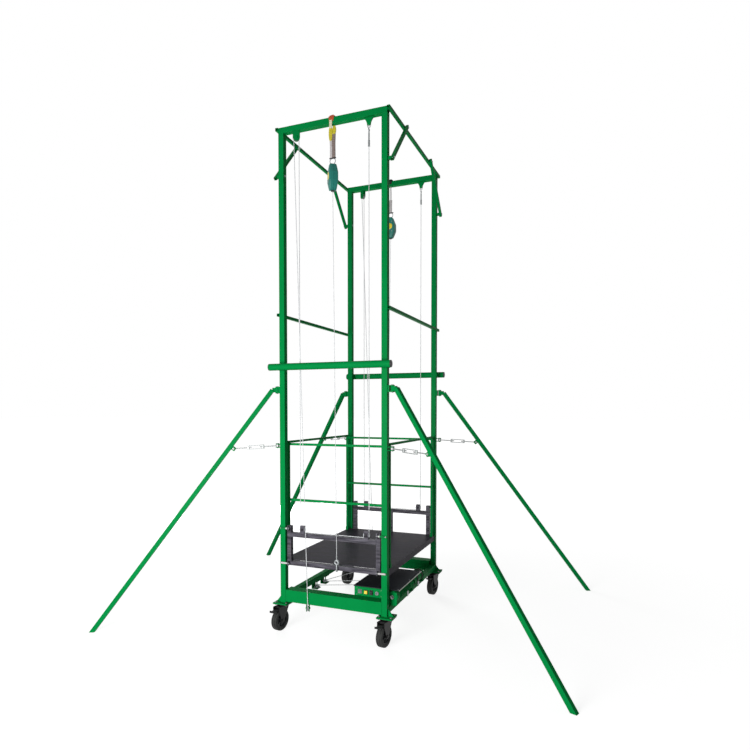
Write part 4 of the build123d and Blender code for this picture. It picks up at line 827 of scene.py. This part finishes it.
# Mill-finish aluminium: dull silver, drawn along its length, with 0.8 mm streaks.
aluminium, place = finish("mill_aluminium")
stretched = add(aluminium, "Mapping", {"Vector": place, "Scale": (1, 0.02, 1)})
streak = add(aluminium, "TexNoise", {"Vector": stretched, "Scale": 1000 / 0.8, "Detail": 3})
tone = add(aluminium, "Mix", {0: streak, 6: "#777A74", 7: "#A3A59D"}, data_type="RGBA")
milled = add(aluminium, "BsdfPrincipled", {"Base Color": tone, "Metallic": 0.7, "Roughness": 0.5})
add(aluminium, "OutputMaterial", {"Surface": milled})
edging = soften(block((EDGING, lid_length, LID_THICK), (LID_RIGHT + EDGING / 2, lid_y, LID_Z)), 0.8)
coat(aluminium, edging)

screw = rod(4.2, 2, (0, 0, 1), sides=24)
shape(screw, "EDGE", above(1.9), bevelled(1.3, 3))
shape(screw, "FACE", lambda c, n: n.z > 0.95, inset(1.2), extruded(0, 0, -1.2))
coat(zinc, smooth(screw))
screw_columns = LID_LEFT + SCREW_INSET, LID_RIGHT - SCREW_INSET
screw_rows = LID_FRONT + SCREW_INSET, lid_y, LID_REAR - SCREW_INSET
lid_screws = copies(screw, [Matrix.Translation((x, y, SCREW_Z)) for x in screw_columns for y in screw_rows])
fit("drive_lid_moulded", [lid, edging, *lid_screws], "tower", "black_cover", "drive_lid")


# Control panel: a green plate on the front of the drive box with a blank display window, a square
# yellow push button, a rocker switch and a round power inlet, held by four screws.
PANEL_FACE, CONTROL_Z = -523, 318
WINDOW_X, BUTTON_X, ROCKER_X, INLET_X = 178, 224, 262, 305
BUTTON_Y, ROCKER_Y, INLET_Y = -531.25, -530, -527
BEZELS = ((BUTTON_X, 14.4, 14.4), (ROCKER_X, 11.4, 16.5))
panel = soften(block((190, 3, 53), (245, PANEL_FACE + 1.5, 318.5)), 1)
coat(green, panel)
window = block((30, 3, 30), (WINDOW_X, PANEL_FACE - 1.5, CONTROL_Z))
shape(window, "FACE", FRONT, inset(3), moved(0, 1, 0))
soften(window, 0.6)

# Display window: smoked acrylic over an unlit grey screen, nearly flat and glossy.
acrylic = mottled("smoked_acrylic_window", "#5A605C", "#767C78", (14, 4), {
    "Roughness": (0.12, 0.3), "IOR": 1.49})
coat(acrylic, window)
panel_parts = [panel, window]
for x, half_x, half_z in BEZELS:
    bezel = block((2 * half_x, 7, 2 * half_z), (x, PANEL_FACE - 3.5, CONTROL_Z))
    shape(bezel, "FACE", FRONT, inset(3), extruded(0, 6.8, 0))
    coat(black_plug, soften(bezel, 0.7))
    panel_parts.append(bezel)
inlet = rod(13, 8, (INLET_X, INLET_Y, CONTROL_Z), "Y", 40)
shape(inlet, "FACE", FRONT, inset(5), extruded(0, 6, 0))
soften(inlet, 0.7)

# Inlet shell: die-cast grey metal, matt from shot blasting.
cast = mottled("shot_blasted_die_casting", "#6F7577", "#8C9294", (1.4, 3), {
    "Metallic": 0.4, "Roughness": 0.6}, grain=(1.4, 3, 0.2, 0.3))
coat(cast, inlet)
panel_parts.append(inlet)
for turn in range(3):
    angle = pi / 2 + turn * 2 * pi / 3
    contact = rod(1.4, 5, (INLET_X + 4 * cos(angle), INLET_Y, CONTROL_Z + 4 * sin(angle)), "Y", 14)
    shape(contact, "FACE", FRONT, inset(0.5), moved(0, -0.5, 0))
    coat(zinc, smooth(contact))
    panel_parts.append(contact)
small_screw = Matrix.Rotation(pi / 2, 4, "X") @ Matrix.Diagonal((0.7, 0.7, 0.7, 1))
panel_parts += copies(screw, [
    Matrix.Translation((x, PANEL_FACE, z)) @ small_screw for x in (156, 334) for z in (298, 339)])
fit("control_panel_plate", panel_parts, "tower", "panel_plastic", "control_panel")

# Push button: a square yellow cap of polycarbonate with a dished face, glossy, faintly clouded.
yellow = mottled("yellow_polycarbonate", "#E2C81E", "#F2DC3C", (9, 3), {
    "Roughness": (0.22, 0.38), "IOR": 1.58})
button = block((22, 7.5, 22), (BUTTON_X, BUTTON_Y, CONTROL_Z))
shape(button, "FACE", FRONT, inset(3), moved(0, 0.8, 0))
coat(yellow, soften(button, 1, 3))
fit("push_button_cap", [button], "push_button", "yellow_button", "push_button")

# Rocker switch: a black cap with a shallow hollow at each end and a ridge across its middle.
rocker = block((16, 6, 24), (ROCKER_X, ROCKER_Y, CONTROL_Z))
for cut in (-1.5, 1.5):
    shape(rocker, "FACE", everywhere, sliced((ROCKER_X, ROCKER_Y, CONTROL_Z + cut), (0, 0, 1)))
shape(rocker, "FACE", lambda c, n: n.y < -0.9 and abs(c.z - CONTROL_Z) > 2,
      inset(1.4, use_individual=True), moved(0, 1.2, 0))
coat(black_plug, soften(rocker, 0.6))
fit("rocker_cap", [rocker], "rocker_switch", "black_cover", "rocker_switch")


# Fall arresters: retractable lifelines in teal shells, each hung from the top beam by a choker sling and
# shock-absorbing webbing, orange, cream, yellow, grey and brown in front, black and grey behind.
SHELL_HEIGHT, SHELL_WIDTH, SHELL_DEPTH, SHELL_Z = 176, 84, 62, 3131
SHELL_TURN = {-1: radians(-53), 1: 0}
BEAM_TOP, BAND_PITCH, BAIL_Z, BOW_Z = 3500, 4 * pi, 3239, 3259


def webbing(name, dark, light):
    """Woven polyester webbing, softly matt, its ribs drawn as bands 12.6 mm apart so that they show."""
    material, place = finish(name)
    weave = add(material, "TexWave", {
        "Vector": place, "Scale": 1000 * 2 * pi / BAND_PITCH / 20, "Distortion": 1.5, "Detail": 2},
        "Fac", bands_direction="Z")
    grime = add(material, "TexNoise", {"Vector": place, "Scale": 1000 / 22, "Detail": 5})
    ribbed = add(material, "Mix", {0: weave, 6: dark, 7: light}, data_type="RGBA")
    soiled = add(material, "Mix", {0: grime, 6: ribbed, 7: dark}, data_type="RGBA")
    bumpy = add(material, "Bump", {"Height": weave, "Strength": 0.25, "Distance": 0.0006})
    woven = add(material, "BsdfPrincipled", {
        "Base Color": soiled, "Roughness": 0.85, "Normal": bumpy, "Specular IOR Level": 0.2,
        "Sheen Weight": 0.2})
    add(material, "OutputMaterial", {"Surface": woven})
    return material


orange_web = webbing("orange_polyester_webbing", "#B4502F", "#CC643C")
cream_web = webbing("cream_polyester_webbing", "#D8CEAE", "#EDE6CC")
yellow_web = webbing("yellow_polyester_webbing", "#C4B72A", "#DDD248")
grey_web = webbing("grey_polyester_webbing", "#BDB8B8", "#D2CDCD")
brown_web = webbing("brown_polyester_webbing", "#7C6E69", "#968782")
black_web = webbing("black_polyester_webbing", "#1C201D", "#303532")

# Arrester shell: teal glass-filled nylon, moulded, satin, with a faint 2.5 mm flow grain.
teal = mottled("teal_glass_filled_nylon", "#10665D", "#1E8072", (45, 4), {
    "Roughness": 0.45, "IOR": 1.53, "Specular IOR Level": 0.3}, grain=(2.5, 3, 0.15, 0.4))


def strip(width, thickness, first, last, sway):
    """Hanging length of webbing that sways a little to one side and back."""
    x, y, top = first
    low = last[2]
    strap = block((width, thickness, top - low), (x, y, (top + low) / 2))
    shape(strap, "EDGE", running("Z"), divided(9))
    for vert in strap.data.vertices:
        share = (top - vert.co.z) / (top - low)
        vert.co.x += (last[0] - x) * share + sway * sin(pi * share)
        vert.co.y += (last[1] - y) * share + sway / 2 * sin(2 * pi * share)
    return soften(strap, thickness / 3, 2)


def saddle(x, y, web):
    """Crumpled webbing laid over the top beam and down its upper half."""
    band = block((41, 45.6, 29), (x, y, BEAM_TOP + 11))
    shape(band, "FACE", lambda c, n: abs(n.x) > 0.9 or n.z < -0.9, (bpy.ops.mesh.delete, {"type": "FACE"}))
    shape(band, "VERT", lambda p: p.z < BEAM_TOP, resized((0.74, 1, 1), (x, y, BEAM_TOP)))
    soften(walled(band, 2.6), 0.8)
    folds = []
    for lift, turn, width in ((4, 0, 41), (9, 9, 37), (14, -12, 33)):
        fold = block((width, 40 - lift, 5))
        shape(fold, "FACE", everywhere, divided(4))
        for vert in fold.data.vertices:
            vert.co.z += 2.2 * cos(vert.co.x / 7 + turn) * cos(vert.co.y / 9)
        soften(fold, 1.6)
        seat = Matrix.Translation((x, y, BEAM_TOP + 23 + lift))
        fold.data.transform(seat @ Matrix.Rotation(radians(turn), 4, "Z"))
        folds.append(fold)
    coat(web, band, *folds)
    return [band, *folds]


def lobe(x, y, low, high, width):
    """Webbing loop folded flat: a leaf-shaped pad with its two plies stitched together."""
    pad = block((width, 9, high - low), (x, y, (low + high) / 2))
    shape(pad, "EDGE", running("Z"), divided(11))
    shape(pad, "EDGE", running("X"), divided(3))
    for vert in pad.data.vertices:
        share = (vert.co.z - low) / (high - low)
        bulge = 0.42 + 0.58 * sin(pi * (0.1 + 0.8 * share))
        vert.co.x = x + (vert.co.x - x) * bulge
        vert.co.y = y + (vert.co.y - y) * (0.55 + 0.45 * cos(pi * (vert.co.x - x) / width))
    return soften(pad, 1.4, 2, 50)


shell = block((SHELL_WIDTH, SHELL_DEPTH, SHELL_HEIGHT))
for z in (-58, -30, 26, 57):
    shape(shell, "FACE", everywhere, sliced((0, 0, z), (0, 0, 1)))
for z, share in ((-88, 0.44), (-58, 0.74), (57, 0.74), (88, 0.44)):
    shape(shell, "VERT", lambda p: abs(p.z - z) < 1, resized((share, 0.55 + 0.45 * share, 1), (0, 0, z)))
soften(shell, 8, 4, 12)
for y in (-1.3, 0, 1.3):
    shape(shell, "FACE", everywhere, sliced((0, y, 0), (0, 1, 0)))
shape(shell, "VERT", lambda p: abs(p.y) < 0.3, resized((0.96, 1, 0.98)))
coat(teal, smooth(shell))
spout = rod(12, 8, (0, 0, -90), sides=40)
shape(spout, "FACE", DOWN, inset(3), moved(0, 0, 1.5))
coat(black_plug, soften(spout, 1))
disc = rod(25, 3, (0, -SHELL_DEPTH / 2, 7), "Y", 48)
shape(disc, "FACE", FRONT, inset(5), moved(0, -0.8, 0))
coat(yellow, soften(disc, 0.7))
shell_screws = copies(screw, [
    Matrix.Translation((x, 0.5 - SHELL_DEPTH / 2, z)) @ Matrix.Rotation(pi / 2, 4, "X")
    for z in (-34, 46) for x in (-20, 20)])
reel_case = joined([shell, spout, disc, *shell_screws])

shells, sling_parts = [], []
for sy, x in ARRESTER_X.items():
    y = sy * POST_Y
    hung = Matrix.Translation((x, y, SHELL_Z)) @ Matrix.Rotation(SHELL_TURN[sy], 4, "Z")
    shells += copies(reel_case, [hung])
    if sy < 0:
        sling_parts += saddle(x, y, orange_web)
        straps = [(cream_web, strip(20, 2.4, (x - 3, y - 24, 3502), (x - 6, y - 20, 3450), 0.6)),
                  (yellow_web, lobe(x - 12, y - 6, 3376, 3468, 28)),
                  (yellow_web, lobe(x + 13, y - 2, 3416, 3470, 28)),
                  (grey_web, strip(17, 3.2, (x - 13, y - 3, 3380), (x - 11, y - 2, 3262), 1.2)),
                  (brown_web, strip(25, 9, (x + 10, y, 3420), (x + 8, y, 3262), -1.5))]
    else:
        sling_parts += saddle(x, y, black_web)
        straps = [(grey_web, strip(10, 4, (x, y, 3481), (x + 2, y, 3355), 1.2)),
                  (grey_web, strip(24, 9, (x + 2, y, 3368), (x, y, 3262), -1.5))]
    for web, strap in straps:
        coat(web, strap)
        sling_parts.append(strap)
    bail = start("torus", major_segments=40, minor_segments=10, major_radius=20, minor_radius=2.6,
                 location=(x, y, BAIL_Z), rotation=AXIS_TURN["Y"])
    shape(bail, "VERT", lambda p: p.z > BAIL_Z, resized((1.05, 1, 0.9), (x, y, BAIL_Z)))
    coat(zinc, smooth(bail, 80))
    bow = rod(4.6, 46, (x, y, BOW_Z), "X", 20)
    shape(bow, "FACE", at_ends("X"), inset(1.4), resized((1.06, 1, 1), (x, y, BOW_Z)))
    coat(black_steel, soften(bow, 0.8))
    sling_parts += [bail, bow]
fit("arrester_sling_sets", sling_parts, "tower", "sling_webbing", "arrester_slings")
fit("arrester_shells", shells, "tower", "arrester_shell", "arrester_bodies")
bpy.data.objects.remove(reel_case)


# Platform: a folded steel deck on a tube frame with an upright frame at each end, all in dark satin
# enamel over hot-rolled steel, with pale edges that are partly scuffs and partly a painted highlight, and
# stained brown in places.
FRAME_IN, FRAME_OUT, FRAME_BACK, FRAME_FRONT, TUBE = 323, 353, 562, 592, 30
DECK_BAR_TOP, BAR_LOW, BAR_TOP = 495, 668, 698
LUG_FACES, LUG_HALF, GUIDES = (335, 341), 14, (480, 728)
CHEEKS, CHEEK_HALF, CHEEK_FACES, SHEAVE_Z = {-1: -236, 1: 250}, 17, (588.4, 565.6), 723


def rolled_steel(name, dark, light, roughness, gloss):
    """Satin enamel over hot-rolled steel: streaks along the rolling, pale edges that are partly rubbing and
    partly a painted highlight, rust-brown stains.
    """
    material, place = finish(name)
    rolled = add(material, "Mapping", {"Vector": place, "Scale": (0.12, 1, 1)})
    streak = add(material, "TexNoise", {"Vector": rolled, "Scale": 1000 / 16, "Detail": 4})
    streak = add(material, "MapRange", {"Value": streak, "From Min": 0.36, "From Max": 0.72})
    stain = add(material, "TexNoise", {"Vector": place, "Scale": 1000 / 110, "Detail": 6})
    grain = add(material, "TexNoise", {"Vector": place, "Scale": 1000 / 2.5, "Detail": 2})
    rounded, edge = edge_wear_and_highlight(material, 0.002)
    brown = add(material, "MapRange", {"Value": stain, "From Min": 0.56, "From Max": 0.72, "To Max": 0.25})
    film = add(material, "Mix", {0: streak, 6: dark, 7: light}, data_type="RGBA")
    stained = add(material, "Mix", {0: brown, 6: film, 7: "#5E5249"}, data_type="RGBA")
    # Pale edges all round: partly rubbed paint, partly a painted highlight along every edge.
    rub_and_highlight = add(material, "Math", {0: edge, 1: 0.6}, operation="MULTIPLY")
    paint = add(material, "Mix", {0: rub_and_highlight, 6: stained, 7: "#A19CA5"}, data_type="RGBA")
    rough = add(material, "MapRange", {
        "Value": streak, "To Min": roughness - 0.08, "To Max": roughness + 0.12})
    bumpy = add(material, "Bump", {"Height": grain, "Normal": rounded, "Strength": 0.1, "Distance": 0.0004})
    satin = add(material, "BsdfPrincipled", {
        "Base Color": paint, "Roughness": rough, "Normal": bumpy, "IOR": 1.5, "Specular IOR Level": gloss})
    add(material, "OutputMaterial", {"Surface": satin})
    return material


frame_grey = rolled_steel("grey_satin_enamel", "#2A282F", "#6B6872", 0.36, 0.1)
deck_grey = rolled_steel("grey_satin_enamel_deck", "#29272D", "#4F4B56", 0.42, 0.02)
dress(frame_grey, "end_frames", "deck_frame")
dress(deck_grey, "deck_plate")

# Middle upright: a 30 mm square tube welded between the two bars of the rear end frame, in the same enamel.
upright_z = (DECK_BAR_TOP + BAR_LOW) / 2
upright = block((TUBE, TUBE, BAR_LOW - DECK_BAR_TOP), (0, ROPE_Y, upright_z))
shape(upright, "FACE", at_ends("Z"), inset(3))
coat(frame_grey, soften(upright, 1.5, 3), bead)
fit("rear_frame_upright", [upright], "platform", "platform_grey")
frame_joints = []
for z in (DECK_BAR_TOP, BAR_LOW):
    for side in (-TUBE / 2, TUBE / 2):
        frame_joints.append(((side, FRAME_BACK, z), (side, FRAME_FRONT, z)))
        frame_joints.append(((-TUBE / 2, ROPE_Y + side, z), (TUBE / 2, ROPE_Y + side, z)))

# Platform weld beads: fillets where the end frames' bars, uprights, guide lugs and sheave cheeks meet.
corner_joints = [((FRAME_IN, FRAME_FRONT, BAR_LOW), (FRAME_IN, FRAME_FRONT, BAR_TOP))]
for y in (FRAME_FRONT, FRAME_BACK):
    corner_joints.append(((FRAME_IN, y, DECK_BAR_TOP), (FRAME_OUT, y, DECK_BAR_TOP)))
for z in (DECK_BAR_TOP, BAR_LOW, BAR_TOP):
    corner_joints.append(((FRAME_IN, FRAME_BACK, z), (FRAME_IN, FRAME_FRONT, z)))
for z in GUIDES:
    for x in LUG_FACES:
        corner_joints.append(((x, FRAME_FRONT, z - LUG_HALF), (x, FRAME_FRONT, z + LUG_HALF)))
frame_joints += at_corners(corner_joints)
for sx, sy in CORNERS.values():
    for y in CHEEK_FACES:
        frame_joints.append([(CHEEKS[sx] + side, sy * y, BAR_TOP) for side in (-CHEEK_HALF, CHEEK_HALF)])
fit("platform_weld_beads", beads(frame_joints), "platform", "platform_grey")
bpy.data.objects.remove(bead)

# Platform bolts and lifeline hooks: plated bolts through the guide sleeves, black ones through the sheaves,
# and a plated stem with a sprung snap hook for each lifeline.
GUIDE_Y, GUIDE_SEATS, SPACERS = 607, (335, 395), (341.2, 342.9)
STEM_Z, STEM_TOP, ARM_Y, ARM_Z, HOOK_Z, FERRULE_Z = 483, 509, 598.5, 471, 524, 552
fittings, sheave_bolts = [], []
for sx, sy in CORNERS.values():
    for z in GUIDES:
        ends = [(sx * x, sy * GUIDE_Y, z) for x in GUIDE_SEATS]
        fittings += fastened(*ends, BOLT_RADIUS, bolt_nut, bolt_head)
        for x in SPACERS:
            seat = Matrix.Translation((sx * x, sy * GUIDE_Y, z)) @ Matrix.Rotation(sx * pi / 2, 4, "Y")
            fittings += copies(collar, [seat @ Matrix.Diagonal((0.62, 0.62, 1, 1))])
    ends = [(CHEEKS[sx], sy * (ROPE_Y + side), SHEAVE_Z) for side in (-CHEEK_OUT, CHEEK_OUT)]
    sheave_bolts += fastened(*ends, BOLT_RADIUS, bolt_nut, bolt_head)
for sy, x in HOOK_X.items():
    y = sy * HOOK_Y
    stem = rod(6, 46, (x, y, STEM_Z), sides=24)
    shape(stem, "FACE", UP, inset(1), extruded(0, 0, 3), resized((1.5, 1.5, 1), (x, y, STEM_TOP)))
    arm = block((12, 13, 12), (x, sy * ARM_Y, ARM_Z))
    hook = start("torus", major_segments=36, minor_segments=12, major_radius=12.8, minor_radius=7.4,
                 location=(x, y, HOOK_Z), rotation=AXIS_TURN["Y"])
    shape(hook, "VERT", lambda p: p.z > HOOK_Z + 6, resized((0.9, 1.15, 1), (x, y, HOOK_Z + 6)))
    gate = start("cylinder", vertices=20, radius=5.6, depth=26, location=(x + 13, y, HOOK_Z),
                 rotation=(0, radians(-8), 0))
    ferrule = rod(5, 26, (x, y, FERRULE_Z), sides=24)
    shape(ferrule, "EDGE", running("Z"), divided(5))
    shape(ferrule, "VERT", lambda p: abs(p.z - FERRULE_Z) < 8, resized((0.86, 1, 1), (x, y, FERRULE_Z)))
    fittings += [soften(part, 0.9) for part in (stem, arm, gate)]
    fittings += [smooth(hook, 80), smooth(ferrule, 50)]
coat(zinc, *fittings)
coat(black_steel, *sheave_bolts)
fit("platform_bolts_and_hooks", fittings + sheave_bolts, "platform", "zinc", "platform_fittings")

# Guide sleeves: cast nylon rollers that run on the posts, waxy, with scuffs 6 mm across; the lower ones
# are white and the upper ones have been sprayed over in green, all but their inner ends.
SPRAYED_ABOVE, SPRAYED_OUTSIDE = 0.6, 0.357
nylon, place = finish("white_cast_nylon")
score = add(nylon, "TexNoise", {"Vector": place, "Scale": 1000 / 6, "Detail": 5})
bare = add(nylon, "Mix", {0: score, 6: "#B9B7B6", 7: "#E4E2E2"}, data_type="RGBA")
height = add(nylon, "SeparateXYZ", {"Vector": place}, "Z")
upper = add(nylon, "Math", {0: height, 1: SPRAYED_ABOVE}, operation="GREATER_THAN")
outward = add(nylon, "Math", {0: add(nylon, "SeparateXYZ", {"Vector": place}, "X")}, operation="ABSOLUTE")
past_end = add(nylon, "Math", {0: outward, 1: SPRAYED_OUTSIDE}, operation="GREATER_THAN")
sprayed = add(nylon, "Math", {0: upper, 1: past_end}, operation="MULTIPLY")
tone = add(nylon, "Mix", {0: sprayed, 6: bare, 7: "#0A8040"}, data_type="RGBA")
rounded = add(nylon, "Bevel", {"Radius": 0.0015}, samples=4)
waxy = add(nylon, "BsdfPrincipled", {
    "Base Color": tone, "Roughness": 0.5, "Normal": rounded, "IOR": 1.53, "Specular IOR Level": 0.08})
add(nylon, "OutputMaterial", {"Surface": waxy})
dress(nylon, "guide_sleeves")
for model in (bolt_head, bolt_nut, bolt_tip, pin_head, pin_foot, collar, shank, screw):
    bpy.data.objects.remove(model)


# Studio: a wide pale floor that fades into a white background, one large soft key light in front,
# a second behind on the left, a faint one to the right, and a weak even fill from all round.
FLOOR_SIZE, LAMP_SIZE, FILL = 160, 2, 0.17
LAMPS = (("key", 208, (-0.5, -4.8, 1.2)), ("rear left", 240, (-3.4, 3.8, 0.7)), ("right", 12, (5, 0, 0.7)))
LAMP_TARGET = Vector((0, 0, 1.2))
CAMERA_PLACE, CAMERA_TILT, CAMERA_TURN = (1.7217, -4.1091, 1.5731), -1.867, 21.777
CAMERA_LENS, CAMERA_SHIFT = 27.49, 0.0698


def seen_white(holder):
    """1 for a ray from the camera, a mirror or glass, which sees the white background, and 0 for the rest."""
    rays = [add(holder, "LightPath", out=f"Is {kind} Ray") for kind in ("Camera", "Glossy", "Transmission")]
    mirrored = add(holder, "Math", {0: rays[0], 1: rays[1]}, operation="MAXIMUM")
    return add(holder, "Math", {0: mirrored, 1: rays[2]}, operation="MAXIMUM")


floor = start("plane", size=1)
floor.name = "studio_floor"
shape(floor, "FACE", everywhere, resized((FLOOR_SIZE, FLOOR_SIZE, 1)))
pale, place = finish("pale_studio_floor")
reach = add(pale, "VectorMath", {0: place}, operation="LENGTH")
glow = add(pale, "MapRange", {"Value": reach, "From Min": 1.5, "From Max": 7, "To Min": 0.83, "To Max": 1})
lit = add(pale, "Math", {0: seen_white(pale), 1: glow}, operation="MULTIPLY")
backdrop = add(pale, "Emission", {"Strength": lit})
ground = add(pale, "BsdfDiffuse", {"Color": "#A8A8A8"})
add(pale, "OutputMaterial", {"Surface": add(pale, "AddShader", {0: backdrop, 1: ground})})
coat(pale, floor)
floor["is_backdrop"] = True

world = bpy.data.worlds.new("studio")
bpy.context.scene.world = world
world.use_nodes = True
world.node_tree.nodes.clear()
strength = add(world, "MapRange", {"Value": seen_white(world), "To Min": FILL, "To Max": 1})
white = add(world, "Background", {"Color": "#FFFFFF", "Strength": strength})
add(world, "OutputWorld", {"Surface": white})

for name, energy, place in LAMPS:
    light = bpy.data.lights.new(name, "AREA")
    light.shape = "RECTANGLE"
    light.size = LAMP_SIZE
    light.size_y = LAMP_SIZE
    light.energy = energy
    lamp = bpy.data.objects.new(name, light)
    bpy.context.collection.objects.link(lamp)
    lamp.location = place
    lamp.visible_glossy = name == "key"
    lamp.rotation_euler = (LAMP_TARGET - lamp.location).to_track_quat("-Z", "Y").to_euler()

camera = bpy.data.cameras.new("camera")
camera.sensor_width = 36
camera.lens = CAMERA_LENS
camera.shift_y = CAMERA_SHIFT
camera.clip_end = 300
viewer = bpy.data.objects.new("camera", camera)
bpy.context.collection.objects.link(viewer)
viewer.location = CAMERA_PLACE
viewer.rotation_euler = (radians(90 + CAMERA_TILT), 0, radians(CAMERA_TURN))
bpy.context.scene.camera = viewer
bpy.context.scene.view_settings.view_transform = "Standard"

[[list(corner) for corner in limits] for limits in (cad_box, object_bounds())]
